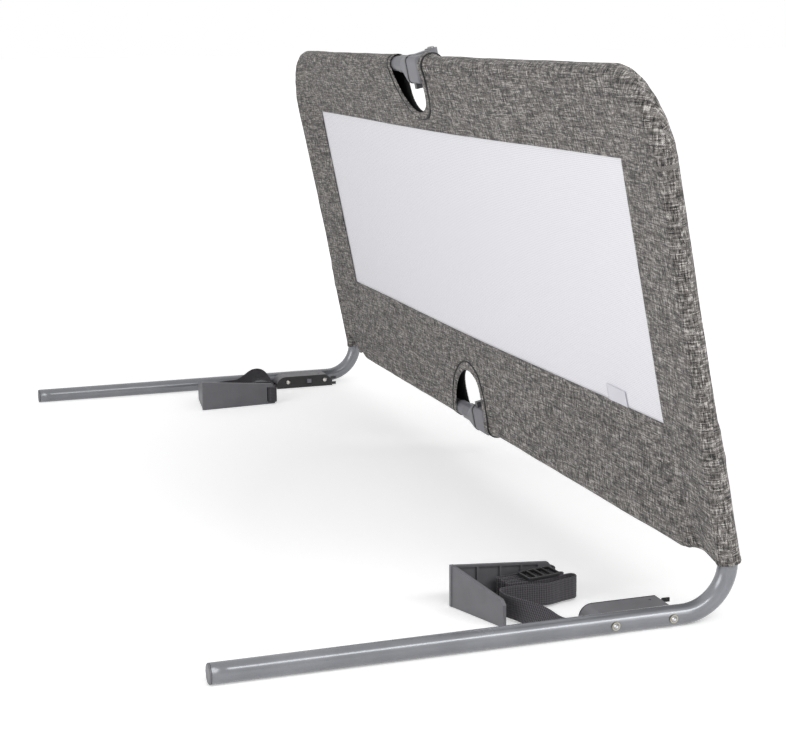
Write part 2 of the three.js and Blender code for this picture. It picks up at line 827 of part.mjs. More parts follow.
function webSlab(side) {
  const split = FOLD_X + side * HALF_SPLIT;
  const hemBottom = RAIL_HEIGHT - sleeveInner;
  const outline = [
    [split, TOP_HEIGHT],
    [side * (HALF_WIDTH - CORNER_RADIUS), TOP_HEIGHT],
    [side * HALF_WIDTH, TOP_HEIGHT - CORNER_RADIUS],
    [side * HALF_WIDTH, SLEEVE_END],
    ...HEM_SHARES.map(([along, rise]) => [
      side * (RAIL_REACH + RAIL_END_INSET * along),
      hemBottom + (SLEEVE_END - hemBottom) * rise,
    ]),
    [side * RAIL_REACH, RAIL_HEIGHT],
    [split, RAIL_HEIGHT],
  ].map(([x, z]) => new THREE.Vector2(x, z));
  const window = [
    [split - side * OVERRUN, MESH_BOTTOM],
    [split - side * OVERRUN, MESH_TOP],
    [side * MESH_HALF_WIDTH, MESH_TOP],
    [side * MESH_HALF_WIDTH, MESH_BOTTOM],
  ].map(([x, z]) => new THREE.Vector2(x, z));
  const slab = extrudedAcross(outline, WEB_HALF_THICKNESS);
  return [slab, extrudedAcross(window, WEB_HALF_THICKNESS + OVERRUN)];
}

// A flat outline in the panel's plane, given thickness on both sides of it
function extrudedAcross(outline, halfThickness) {
  const shape = new THREE.Shape(outline);
  const geometry = new THREE.ExtrudeGeometry(shape, { depth: 2 * halfThickness, bevelEnabled: false });
  return geometry.rotateX(Math.PI / 2).translate(0, halfThickness, 0);
}

function addCover(side) {
  const name = sideName(side);
  const start = FOLD_X + side * HALF_SPLIT;
  const topTail = TOP_HEIGHT - MESH_TOP;
  const hemTail = MESH_BOTTOM - RAIL_HEIGHT;
  const hemEnd = side * (RAIL_REACH + PLUG_FLANGE + FABRIC + 2 * RUNNING_GAP);
  const outerPath = upperTubeStations(side, start, SLEEVE_END);
  const innerPath = upperTubeStations(side, start - side * OVERRUN, SLEEVE_END - OVERRUN);
  const hemPath = [v(start, 0, RAIL_HEIGHT), v(hemEnd, 0, RAIL_HEIGHT)];
  const hemInside = [v(start - side * OVERRUN, 0, RAIL_HEIGHT), v(hemEnd - side * FABRIC, 0, RAIL_HEIGHT)];
  const upright = (shape, stations) => solidOf(swept(shape, stations));
  const turnUp = (shape, stations) => {
    const hem = swept(shape, stations);
    hem.translate(0, 0, -RAIL_HEIGHT).rotateX(Math.PI).translate(0, 0, RAIL_HEIGHT);
    return solidOf(hem);
  };
  const [slab, window] = webSlab(side);
  const inside = WEB_HALF_THICKNESS - FABRIC;
  const bumpRadius = SNAP_RADIUS + RUNNING_GAP;
  const bumpTop = LEG_RADIUS + SNAP_STAND + RUNNING_GAP;
  const bumpFrom = v(side * (HALF_WIDTH + LEG_RADIUS - FABRIC), 0, SNAP_HEIGHT);
  const bumpTo = (height) => v(side * (HALF_WIDTH + height), 0, SNAP_HEIGHT);
  const bump = solidOf(rod(bumpRadius + FABRIC, bumpFrom, bumpTo(bumpTop + FABRIC)));
  const bumpRoom = solidOf(rod(bumpRadius, v(side * HALF_WIDTH, 0, SNAP_HEIGHT), bumpTo(bumpTop)));
  const outer = upright(teardrop(sleeveOuter, topTail, WEB_HALF_THICKNESS), outerPath)
    .add(turnUp(teardrop(sleeveOuter, hemTail, WEB_HALF_THICKNESS), hemPath))
    .add(solidOf(slab))
    .add(bump);
  const hollow = upright(teardrop(sleeveInner, topTail - BAND_SEAM, inside), innerPath)
    .add(turnUp(teardrop(sleeveInner, hemTail - BAND_SEAM, inside), hemInside))
    .add(bumpRoom);
  const cover = outer
    .subtract(hollow)
    .subtract(solidOf(window))
    .subtract(solidOf(cutoutTool(TOP_HEIGHT, CUTOUT_TOP)))
    .subtract(solidOf(cutoutTool(RAIL_HEIGHT, CUTOUT_BOTTOM)));
  add(panel, `cover_${name}`, geometryOf(cover), 'fabric');
  const meshStart = FOLD_X + side * HALF_SPLIT;
  const meshEnd = side * (MESH_HALF_WIDTH - RUNNING_GAP);
  const half = MESH_THICKNESS / 2;
  const low = MESH_BOTTOM + RUNNING_GAP;
  const high = MESH_TOP - RUNNING_GAP;
  add(panel, `mesh_window_${name}`, box(meshStart, meshEnd, -half, half, low, high), 'mesh');
}

function addCareLabel() {
  const front = -WEB_HALF_THICKNESS - 3 * RUNNING_GAP;
  const right = MESH_HALF_WIDTH - LABEL.inset;
  const bottom = MESH_BOTTOM - LABEL.overlap;
  const top = MESH_BOTTOM + LABEL.rise;
  const label = box(right - LABEL.width, right, front - LABEL.thickness, front, bottom, top);
  add(panel, 'care_label', label, 'mesh');
}

// Strap housings: a moulded shell on the inner side of each leg, closed by a dark plate
function housingProfile(inset) {
  const start = HOUSING.start + inset;
  const end = HOUSING.end - inset;
  const top = HOUSING.height - inset;
  const round = HOUSING.roundedCorner - inset;
  const chamfer = HOUSING.chamfer - inset / 2;
  const points = [[end, inset], [end, top - chamfer], [end - chamfer, top]];
  const steps = 6;
  for (let k = 0; k <= steps; k += 1) {
    const angle = (Math.PI / 2) * (1 + k / steps);
    points.push([start + round + round * Math.cos(angle), top - round + round * Math.sin(angle)]);
  }
  points.push([start, inset]);
  return points.map(([y, z]) => new THREE.Vector2(y, z));
}

// An outline in the plane of Y and Z, extruded along X between two places
function extrudedAlongX(outline, x0, x1) {
  const shape = new THREE.Shape(outline);
  const geometry = new THREE.ExtrudeGeometry(shape, { depth: x1 - x0, bevelEnabled: false });
  return geometry.applyMatrix4(new THREE.Matrix4().set(0, 0, 1, x0, 1, 0, 0, 0, 0, 1, 0, 0, 0, 0, 0, 1));
}

function housingShell() {
  const outside = extrudedAlongX(housingProfile(0), HOUSING.saddleStart, HOUSING.depth - HOUSING.plate);
  const inside = extrudedAlongX(housingProfile(HOUSING.floor), HOUSING.saddleStart, HOUSING.depth);
  const long = [HOUSING.start - OVERRUN, HOUSING.end + OVERRUN];
  const axis = (y) => v(0, y, LEG_RADIUS);
  const saddle = rod(LEG_RADIUS + RUNNING_GAP, axis(long[0]), axis(long[1]), TUBE_SIDES);
  const saddleRim = LEG_RADIUS + RUNNING_GAP + HOUSING.saddleWall;
  const cavity = cut(inside, rod(saddleRim, axis(long[0]), axis(long[1]), TUBE_SIDES));
  const mouth = box(
    saddleRim - HOUSING.mouthShoulder,
    HOUSING.depth,
    HOUSING.start - OVERRUN,
    HOUSING.start + HOUSING.floor + OVERRUN,
    HOUSING.floor,
    HOUSING.mouthTop,
  );
  const bolts = BOLT_PLACES.map((y) => rod(BOLT.radius + RUNNING_GAP, v(0, y, LEG_RADIUS), v(HOUSING.depth, y, LEG_RADIUS), 12));
  const vent = rod(
    HOUSING.ventRadius,
    v(HOUSING.ventAcross, HOUSING.ventPlace, HOUSING.height - HOUSING.floor - OVERRUN),
    v(HOUSING.ventAcross, HOUSING.ventPlace, HOUSING.height + OVERRUN),
    12,
  );
  return cut(outside, saddle, cavity, mouth, vent, ...bolts);
}

function housingPlate() {
  const from = HOUSING.depth - HOUSING.plate + RUNNING_GAP;
  const plate = extrudedAlongX(housingProfile(0), from, HOUSING.depth);
  const prongs = HOUSING.prongLevels.map((low) => box(
    from,
    HOUSING.depth,
    HOUSING.end - OVERRUN,
    HOUSING.end + HOUSING.prongLength,
    low,
    low + HOUSING.prongHeight,
  ));
  const holes = BOLT_PLACES.map((y) => rod(
    BOLT.radius + RUNNING_GAP,
    v(from - OVERRUN, y, LEG_RADIUS),
    v(HOUSING.depth + OVERRUN, y, LEG_RADIUS),
    12,
  ));
  const half = LOCK.size / 2 + RUNNING_GAP;
  const window = box(
    from - OVERRUN,
    HOUSING.depth + OVERRUN,
    LOCK.place - half,
    LOCK.place + half,
    LEG_RADIUS - half,
    LEG_RADIUS + half,
  );
  return cut(joined(plate, ...prongs), window, ...holes);
}

function lockButton() {
  const half = LOCK.size / 2;
  const outer = HOUSING.depth + LOCK.stand;
  const inner = outer - LOCK.length;
  const middle = LEG_RADIUS;
  const body = box(inner, outer, LOCK.place - half, LOCK.place + half, middle - half, middle + half);
  const foot = box(
    inner,
    inner + LOCK.footLength,
    LOCK.place - half,
    LOCK.place + half,
    middle - half - LOCK.footDrop,
    middle,
  );
  return joined(body, foot);
}

function lockSpring() {
  const from = v(LEG_RADIUS + 2 * RUNNING_GAP + HOUSING.saddleWall, LOCK.place, LEG_RADIUS);
  const to = v(HOUSING.depth + LOCK.stand - LOCK.length - RUNNING_GAP, LOCK.place, LEG_RADIUS);
  return spring(LOCK.springRadius, LOCK.springWire, LOCK.springTurns, from, to);
}

function legBolt(y) {
  const seat = LEG_RADIUS + RUNNING_GAP;
  const end = HOUSING.depth + BOLT.nutHeight / 2;
  const head = seat + BOLT.washerHeight;
  const profile = [
    [0, -end],
    [BOLT.radius, -end],
    [BOLT.radius, seat],
    [BOLT.washer, seat],
    [BOLT.washer, head],
    [BOLT.head, head],
    [BOLT.head * BOLT.crown_share, head + BOLT.headHeight],
    [0, head + BOLT.headHeight],
  ];
  return turned(profile, v(0, y, LEG_RADIUS), v(-1, y, LEG_RADIUS), 16);
}

function domeNut(y) {
  const base = HOUSING.depth + RUNNING_GAP / 2;
  const bore = BOLT.radius + RUNNING_GAP / 2;
  const depth = BOLT.nutHeight / 2 + RUNNING_GAP;
  const profile = [
    [bore, 0],
    [BOLT.nut, 0],
    [BOLT.nut, BOLT.nutHeight / 2],
    [BOLT.nut * BOLT.crown_share, BOLT.nutHeight],
    [0, BOLT.nutHeight + BOLT.headHeight / 2],
    [0, depth],
    [bore, depth],
    [bore, 0],
  ];
  return turned(profile, v(base, y, LEG_RADIUS), v(base + 1, y, LEG_RADIUS), 12);
}

// Everything on a leg is drawn for the right side as a distance in from the tube, then placed
function placeOnLeg(side, geometry) {
  const inward = mirrored(geometry);
  const facing = side > 0 ? inward : mirrored(inward);
  return facing.translate(side * HALF_WIDTH, 0, 0);
}

function addHousing(side) {
  const name = sideName(side);
  add(guard, `strap_housing_${name}`, placeOnLeg(side, housingShell()), 'plastic');
  add(guard, `housing_plate_${name}`, placeOnLeg(side, housingPlate()), 'darkPlastic');
  add(guard, `lock_button_${name}`, placeOnLeg(side, lockButton()), 'darkPlastic');
  add(guard, `lock_spring_${name}`, placeOnLeg(side, lockSpring()), 'steel');
  BOLT_PLACES.forEach((y, k) => {
    add(guard, `leg_bolt_${BOLT_NAMES[k]}_${name}`, placeOnLeg(side, legBolt(y)), 'zinc');
    add(guard, `leg_nut_${BOLT_NAMES[k]}_${name}`, placeOnLeg(side, domeNut(y)), 'zinc');
  });
}

// Anchor plates: two flanges that taper away from a tall corner, ribbed on the inside
function flange(length, endHeight, ribs, slotted) {
  const topAt = (y) => ANCHOR.cornerHeight + ((endHeight - ANCHOR.cornerHeight) * y) / length;
  const outline = [
    [0, 0],
    [length, 0],
    [length, endHeight - ANCHOR.endChamfer],
    [length - ANCHOR.endChamfer, topAt(length - ANCHOR.endChamfer)],
    [0, topAt(0)],
  ].map(([y, z]) => new THREE.Vector2(y, z));
  const plate = extrudedAlongX(outline, 0, ANCHOR.thickness);
  const last = slotted ? ANCHOR.slotPlace - ANCHOR.rim : length - ANCHOR.endChamfer;
  const edges = [ANCHOR.thickness + ANCHOR.rim, ...ribs.map((share) => share * last), last];
  const pockets = edges.slice(1).map((end, k) => {
    const y0 = edges[k] + ANCHOR.ribThickness / 2;
    const y1 = end - ANCHOR.ribThickness / 2;
    const pocket = [
      [y0, ANCHOR.rim],
      [y1, ANCHOR.rim],
      [y1, topAt(y1) - ANCHOR.rim],
      [y0, topAt(y0) - ANCHOR.rim],
    ].map(([y, z]) => new THREE.Vector2(y, z));
    const floor = ANCHOR.thickness - ANCHOR.pocketDepth;
    return extrudedAlongX(pocket, floor, ANCHOR.thickness + OVERRUN);
  });
  const slot = box(
    -OVERRUN,
    ANCHOR.thickness + OVERRUN,
    ANCHOR.slotPlace,
    ANCHOR.slotPlace + ANCHOR.slotLength,
    ANCHOR.rim,
    ANCHOR.rim + WEBBING_WIDTH + 2 * STRAP_LIFT,
  );
  return cut(plate, ...pockets, ...(slotted ? [slot] : []));
}

function anchorPlate() {
  const long = flange(ANCHOR.longFlange, ANCHOR.longEndHeight, ANCHOR.rib_shares, true);
  const short = mirrored(flange(ANCHOR.shortFlange, ANCHOR.shortEndHeight, ANCHOR.rib_shares.slice(1), false));
  short.rotateZ(-THREE.MathUtils.degToRad(ANCHOR.angleDeg));
  const overhang = box(-ANCHOR.thickness, 0, -ANCHOR.thickness, 2 * ANCHOR.thickness, -OVERRUN, 2 * ANCHOR.cornerHeight);
  return joined(long, cut(short, overhang));
}

// Folded webbing: one strip, standing on edge, laid back and forth beside the long flange
function bundlePath() {
  const bar = ANCHOR.slotPlace + ANCHOR.slotLength / 2;
  const off = BUNDLE.offset;
  const points = [
    [ANCHOR.thickness + off, bar - BUNDLE.tail],
    [ANCHOR.thickness + off, bar - 2.2 * off],
    [ANCHOR.thickness / 2 + off / 5, bar],
    [-off / 4, bar + off / 4],
    [-1.3 * off, bar + 2 * off],
    [-1.3 * off, ANCHOR.longFlange - off / 2],
    [-off / 3, ANCHOR.longFlange + 1.2 * off],
    [ANCHOR.thickness / 2, ANCHOR.longFlange + 1.5 * off],
    [BUNDLE.first - 0.8 * off, ANCHOR.longFlange + off],
    [BUNDLE.first, ANCHOR.longFlange - off],
    [BUNDLE.first, bar - 2 * off],
  ].map(([x, y]) => v(x, y, 0));
  const turns = [];
  for (let layer = 0; layer < BUNDLE.layers; layer += 1) {
    const outerness = layer / (BUNDLE.layers - 1);
    const x0 = BUNDLE.first + layer * BUNDLE.pitch;
    const downward = layer % 2 === 0;
    const low = BUNDLE.low;
    const high = layer === 0 ? bar - 3 * off : BUNDLE.high - BUNDLE.pitch / 2;
    for (let k = 0; k <= BUNDLE.stepsPerLayer; k += 1) {
      const along = downward ? 1 - k / BUNDLE.stepsPerLayer : k / BUNDLE.stepsPerLayer;
      const bulge = BUNDLE.bulge * outerness ** 2 * Math.sin(Math.PI * along) ** 2;
      turns.push(v(x0 + bulge, low + (high - low) * along, 0));
    }
    if (layer + 1 < BUNDLE.layers) {
      const end = downward ? low - BUNDLE.pitch / 2 : high + BUNDLE.pitch / 2;
      turns.push(v(x0 + BUNDLE.pitch / 2, end, 0));
    }
  }
  const rough = new THREE.CatmullRomCurve3([...points.slice(0, -1), ...turns], false, 'centripetal');
  return rough.getPoints(BUNDLE.samples);
}

function measureLeastGap(path) {
  const reach = BUNDLE.sameFold;
  let least = Infinity;
  const lengths = [0];
  for (let k = 1; k < path.length; k += 1) {
    lengths.push(lengths[k - 1] + path[k].distanceTo(path[k - 1]));
  }
  for (let a = 0; a < path.length; a += 1) {
    for (let b = a + 1; b < path.length; b += 1) {
      if (lengths[b] - lengths[a] > reach) {
        least = Math.min(least, path[a].distanceTo(path[b]) - WEBBING_THICKNESS);
      }
    }
  }
  return least;
}

// Sharp places on the path are thinned out, so that the strip's two faces never cross
function stripOutline(path) {
  const half = WEBBING_THICKNESS / 2;
  const left = [];
  const right = [];
  path.forEach((point, k) => {
    const before = path[Math.max(k - 1, 0)];
    const after = path[Math.min(k + 1, path.length - 1)];
    const along = after.clone().sub(before).normalize();
    left.push(new THREE.Vector2(point.x - half * along.y, point.y + half * along.x));
    right.push(new THREE.Vector2(point.x + half * along.y, point.y - half * along.x));
  });
  return [...left, ...right.reverse()];
}

const bundleLine = bundlePath();
console.log(`least gap between folds of the webbing bundle: ${measureLeastGap(bundleLine).toFixed(2)} mm`);

function webbingBundle() {
  const shape = new THREE.Shape(stripOutline(bundleLine));
  const strip = new THREE.ExtrudeGeometry(shape, { depth: WEBBING_WIDTH, bevelEnabled: false });
  return strip.translate(0, 0, ANCHOR.rim + STRAP_LIFT);
}

function placeAnchor(side, geometry) {
  const { inset, along, turnDeg } = ANCHOR_PLACES[sideName(side)];
  const facing = side > 0 ? geometry : mirrored(geometry);
  return facing.rotateZ(THREE.MathUtils.degToRad(turnDeg)).translate(side * (HALF_WIDTH - inset), along, 0);
}

// A free run of webbing through given middles, each with the direction its width points in
function ribbon(stations, steps) {
  const middles = new THREE.CatmullRomCurve3(stations.map(([middle]) => v(...middle)), false, 'centripetal');
  const widths = new THREE.CatmullRomCurve3(stations.map(([, width]) => v(...width)), false, 'centripetal');
  const rings = [];
  for (let k = 0; k <= steps; k += 1) {
    const t = k / steps;
    const middle = middles.getPoint(t);
    const along = middles.getTangent(t);
    const across = widths.getPoint(t);
    across.addScaledVector(along, -across.dot(along)).normalize().multiplyScalar(WEBBING_WIDTH / 2);
    const out = along.clone().cross(across).normalize().multiplyScalar(WEBBING_THICKNESS / 2);
    rings.push([
      middle.clone().add(across).add(out),
      middle.clone().sub(across).add(out),
      middle.clone().sub(across).sub(out),
      middle.clone().add(across).sub(out),
    ]);
  }
  return loft(rings);
}

function freeStrapStations(side) {
  const place = ANCHOR_PLACES[sideName(side)];
  const turn = THREE.MathUtils.degToRad(place.turnDeg);
  const corner = v(side * (HALF_WIDTH - place.inset), place.along, 0);
  const lastPoint = bundleLine[bundleLine.length - 1];
  const beforeLast = bundleLine[bundleLine.length - 2];
  const along = lastPoint.clone().sub(beforeLast).normalize();
  const joint = lastPoint.clone().addScaledVector(along, STRAP_LIFT + WEBBING_THICKNESS / 4);
  const toWorld = (point) => {
    const facing = v(side * point.x, point.y, 0);
    return facing.applyAxisAngle(v(0, 0, 1), turn).add(corner);
  };
  const edge = ANCHOR.rim + STRAP_LIFT + WEBBING_WIDTH / 2;
  const start = toWorld(joint);
  const next = toWorld(joint.clone().addScaledVector(along, 2 * WEBBING_THICKNESS));
  const across = HALF_WIDTH - STRAP_ACROSS;
  return [
    [[start.x, start.y, edge], [0, 0, 1]],
    [[next.x, next.y, edge], [0, 0, 1]],
    ...FREE_STRAP[sideName(side)].map(([[inset, y, z], width]) => [[side * (HALF_WIDTH - inset), y, z], width]),
    [[side * across, HOUSING.start - OVERRUN, STRAP_LEVEL], [-1, 0, 0]],
    [[side * across, BOLT_PLACES[0], STRAP_LEVEL], [-1, 0, 0]],
    [[side * across, STRAP_TAIL_Y, STRAP_LEVEL], [-1, 0, 0]],
  ];
}

function addStrap(side) {
  const name = sideName(side);
  add(guard, `anchor_plate_${name}`, placeAnchor(side, anchorPlate()), 'plastic');
  add(guard, `strap_bundle_${name}`, placeAnchor(side, webbingBundle()), 'webbing');
  add(guard, `strap_run_${name}`, ribbon(freeStrapStations(side), STRAP_STEPS), 'webbing');
}

for (const side of [1, -1]) {
  addFrame(side);
  addLeg(side);
  addSnap(side);
  addCover(side);
  addHousing(side);
  addStrap(side);
}
addHinge('top', TOP_HEIGHT, false);
addHinge('bottom', RAIL_HEIGHT, true);
addCareLabel();

// The middle of the whole rail stands over the origin
guard.updateMatrixWorld(true);
const overall = new THREE.Box3().setFromObject(guard, true);
const middle = overall.getCenter(new THREE.Vector3());
guard.children.forEach((child) => child.position.add(v(-middle.x, -middle.y, 0)));
guard.updateMatrixWorld(true);

export default guard;
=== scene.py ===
import math

import bmesh
import bpy
import numpy as np
from mathutils import Matrix, Vector, noise
from mathutils.geometry import delaunay_2d_cdt


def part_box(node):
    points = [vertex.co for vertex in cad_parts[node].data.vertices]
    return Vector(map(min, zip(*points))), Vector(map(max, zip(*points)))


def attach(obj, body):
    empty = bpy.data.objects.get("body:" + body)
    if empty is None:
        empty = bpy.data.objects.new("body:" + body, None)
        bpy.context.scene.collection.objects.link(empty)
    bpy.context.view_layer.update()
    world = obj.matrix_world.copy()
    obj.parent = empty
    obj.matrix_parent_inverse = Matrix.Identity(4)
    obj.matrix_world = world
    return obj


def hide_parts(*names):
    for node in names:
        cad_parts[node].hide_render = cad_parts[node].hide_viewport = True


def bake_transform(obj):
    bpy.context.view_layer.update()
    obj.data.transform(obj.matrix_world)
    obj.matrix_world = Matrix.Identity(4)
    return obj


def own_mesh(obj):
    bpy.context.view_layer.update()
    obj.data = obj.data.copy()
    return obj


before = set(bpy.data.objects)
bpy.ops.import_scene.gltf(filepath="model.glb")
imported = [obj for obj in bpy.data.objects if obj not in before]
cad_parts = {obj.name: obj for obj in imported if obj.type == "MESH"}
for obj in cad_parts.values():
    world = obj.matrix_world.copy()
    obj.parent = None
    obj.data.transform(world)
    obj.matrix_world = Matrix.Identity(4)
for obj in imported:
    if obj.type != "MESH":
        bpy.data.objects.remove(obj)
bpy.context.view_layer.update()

MM = 0.001
SIDES = {"right": 1, "left": -1}

# The photograph's camera, found from the tubes' straight lines and the panel's corners
PHOTO_WIDTH = 786
FOCAL_PIXELS = 1710.79
AZIMUTH_DEG, ELEVATION_DEG, ROLL_DEG = 71.8236, 11.3024, -0.5462
CAMERA_PLACE = (1.93126, -0.535445, 0.54246)
SENSOR = 36.0

# The part's own sizes, in millimetres
HALF_WIDTH = 589.0  # from the rail's middle to an upright's middle line
LEAN = math.radians(11.1)  # how far the panel leans back
SHIFT_Y = 238.51  # from the part's middle back to the panel's foot
LEG_REACH = 500.0
LEG_RADIUS = 9.5
LEG_BORE = 8.3  # the radius inside the leg's tube
LEG_TOP = 179.0
LEG_BEND = 45.0
PLUG_FLANGE = 2.0
TOP_HEIGHT = 497.0  # the upper tube's middle line, up the panel
RAIL_HEIGHT = 46.0  # the lower rail's middle line, up the panel
RAIL_REACH = 515.0
SNAP_HEIGHT = 147.0
CORNER = 80.0  # the radius of the frame's upper corners
FOLD_X, FOLD_Y = -35.0, 22.0  # the hinge pins' common axis
BUTTON_TRAVEL, LOCK_TRAVEL = 3.0, 2.5
WEBBING_WIDTH = 22.0
WEBBING_THICK = 1.4
BOLT_PLACES = (-127.0, -69.0)
SHARP = math.radians(35)  # edges that turn more than this are rounded


def panel(x, y, s):
    """A place on the leaning panel: x along the rail, y to the back, s up the panel."""
    back = y * math.cos(LEAN) - s * math.sin(LEAN) + SHIFT_Y
    return Vector((x, back, y * math.sin(LEAN) + s * math.cos(LEAN) + LEG_RADIUS)) * MM


def on_floor(x, y, z):
    """A place among the legs: x along the rail, y along the legs from the panel's foot, z up."""
    return Vector((x, y + SHIFT_Y, z)) * MM


def set_camera():
    """The photograph's camera: its place, its lens and the way it looks."""
    azimuth, elevation, roll = (math.radians(a) for a in (AZIMUTH_DEG, ELEVATION_DEG, ROLL_DEG))
    look = Vector((
        -math.sin(azimuth) * math.cos(elevation),
        math.cos(azimuth) * math.cos(elevation),
        -math.sin(elevation),
    ))
    right = Vector((math.cos(azimuth), math.sin(azimuth), 0))
    above = right.cross(look)
    rolled_right = right * math.cos(roll) + above * math.sin(roll)
    rolled_above = above * math.cos(roll) - right * math.sin(roll)
    data = bpy.data.cameras.new("studio_camera")
    data.sensor_width = SENSOR
    data.lens = SENSOR * FOCAL_PIXELS / PHOTO_WIDTH
    data.clip_start, data.clip_end = 0.05, 60
    camera = bpy.data.objects.new("studio_camera", data)
    bpy.context.scene.collection.objects.link(camera)
    turn = Matrix((rolled_right, rolled_above, -look)).transposed().to_4x4()
    camera.matrix_world = Matrix.Translation(CAMERA_PLACE) @ turn
    bpy.context.scene.camera = camera


# ---- materials ----
def linear(code):
    """A hex sRGB colour as linear red, green, blue and alpha."""
    parts = [int(code[k:k + 2], 16) / 255 for k in (1, 3, 5)]
    return (*[c / 12.92 if c <= 0.04045 else ((c + 0.055) / 1.055) ** 2.4 for c in parts], 1.0)


def add(tree, kind, inputs=(), stops=(), **settings):
    """Adds a node with its settings and its colour stops, and sets or links each named input."""
    made = tree.nodes.new("ShaderNode" + kind)
    for name, value in settings.items():
        setattr(made, name, value)
    if stops:
        ramp = made.color_ramp.elements
        ramp[0].position, ramp[0].color = stops[0][0], linear(stops[0][1])
        ramp[1].position, ramp[1].color = stops[-1][0], linear(stops[-1][1])
        for position, code in stops[1:-1]:
            ramp.new(position).color = linear(code)
    for name, value in dict(inputs).items():
        if isinstance(value, bpy.types.NodeSocket):
            tree.links.new(value, made.inputs[name])
        else:
            made.inputs[name].default_value = value
    return made


def new_material(name, **shader):
    """A material with one Principled shader, whose fixed values are set on its own sockets."""
    material = bpy.data.materials.new(name)
    material.use_nodes = True
    tree = material.node_tree
    principled = tree.nodes["Principled BSDF"]
    for socket, value in shader.items():
        principled.inputs[socket.replace("_", " ")].default_value = value
    return material, tree, principled


def feed(tree, shader, **sockets):
    """Links values into a shader's own sockets."""
    for socket, value in sockets.items():
        tree.links.new(value, shader.inputs[socket.replace("_", " ")])


def satin_tube_paint():
    """Powder-coated steel tube: satin silver grey with fine metal flake and a faint orange peel."""
    # Real flake is about 0.05 mm across: it is drawn ten times as coarse, so that it shows
    flake_size, peel_size, patch_size = 0.5 * MM, 2.4 * MM, 45 * MM
    material, tree, shader = new_material(
        "satin_silver_powder_coat", Metallic=0.4, Coat_Weight=0.35, Coat_Roughness=0.16,
    )
    place = add(tree, "TexCoord").outputs["Object"]
    flake = add(tree, "TexNoise", {"Vector": place, "Scale": 1 / flake_size, "Detail": 2.0})
    peel = add(tree, "TexNoise", {"Vector": place, "Scale": 1 / peel_size, "Detail": 3.0})
    patch = add(tree, "TexNoise", {"Vector": place, "Scale": 1 / patch_size, "Detail": 4.0})
    mixed = add(tree, "Math", {0: flake.outputs["Fac"], 1: patch.outputs["Fac"]}, operation="ADD")
    half = add(tree, "Math", {0: mixed.outputs[0], 1: 0.5}, operation="MULTIPLY")
    silver = add(tree, "ValToRGB", {"Fac": half.outputs[0]}, ((0.3, "#6f7175"), (0.7, "#8b8d92")))
    rough = add(tree, "MapRange", {"Value": patch.outputs["Fac"], "To Min": 0.22, "To Max": 0.3})
    bump = add(tree, "Bump", {"Height": peel.outputs["Fac"], "Strength": 0.12, "Distance": 0.15 * MM})
    feed(
        tree, shader,
        Base_Color=silver.outputs["Color"], Roughness=rough.outputs["Result"], Normal=bump.outputs["Normal"],
    )
    return material


def moulded(name, dark, light, rough_low, rough_high, grain=0.7):
    """Injection-moulded plastic with a fine eroded grain, and a painted highlight that makes its sharp edges paler."""
    # The mould's real grain is about 0.1 mm: it is drawn several times as coarse, so that it shows
    flow_size = 18 * MM
    material, tree, shader = new_material(name, IOR=1.5)
    place = add(tree, "TexCoord").outputs["Object"]
    spark = add(tree, "TexNoise", {"Vector": place, "Scale": 1 / (grain * MM), "Detail": 3.0})
    flow = add(tree, "TexNoise", {"Vector": place, "Scale": 1 / flow_size, "Detail": 5.0}).outputs["Fac"]
    # Pointiness picks out the sharp edges, which are made paler: a painted highlight along them
    highlight_pointiness = add(tree, "NewGeometry").outputs["Pointiness"]
    edge = add(tree, "MapRange", {"Value": highlight_pointiness, "From Min": 0.52, "From Max": 0.62})
    flow_and_painted_highlight = add(tree, "Math", {0: flow, 1: edge.outputs["Result"]}, operation="ADD")
    share = add(tree, "Math", {0: flow_and_painted_highlight.outputs[0], 1: 0.6}, operation="MULTIPLY")
    tint = add(tree, "ValToRGB", {"Fac": share.outputs[0]}, ((0.2, dark), (0.75, light)))
    rough = add(tree, "MapRange", {"Value": flow, "To Min": rough_low, "To Max": rough_high})
    bump = add(tree, "Bump", {"Height": spark.outputs["Fac"], "Strength": 0.25, "Distance": 0.08 * MM})
    feed(
        tree, shader,
        Base_Color=tint.outputs["Color"], Roughness=rough.outputs["Result"], Normal=bump.outputs["Normal"],
    )
    return material


def plated(name, dark, light, rough_low, rough_high):
    """Bright metal with the cloudy stain that a plating bath or a drawing die leaves."""
    stain_size = 1.6 * MM
    material, tree, shader = new_material(name, Metallic=1.0)
    place = add(tree, "TexCoord").outputs["Object"]
    stain = add(tree, "TexNoise", {"Vector": place, "Scale": 1 / stain_size, "Detail": 4.0}).outputs["Fac"]
    tint = add(tree, "ValToRGB", {"Fac": stain}, ((0.35, dark), (0.65, light)))
    rough = add(tree, "MapRange", {"Value": stain, "To Min": rough_low, "To Max": rough_high})
    feed(tree, shader, Base_Color=tint.outputs["Color"], Roughness=rough.outputs["Result"])
    return material


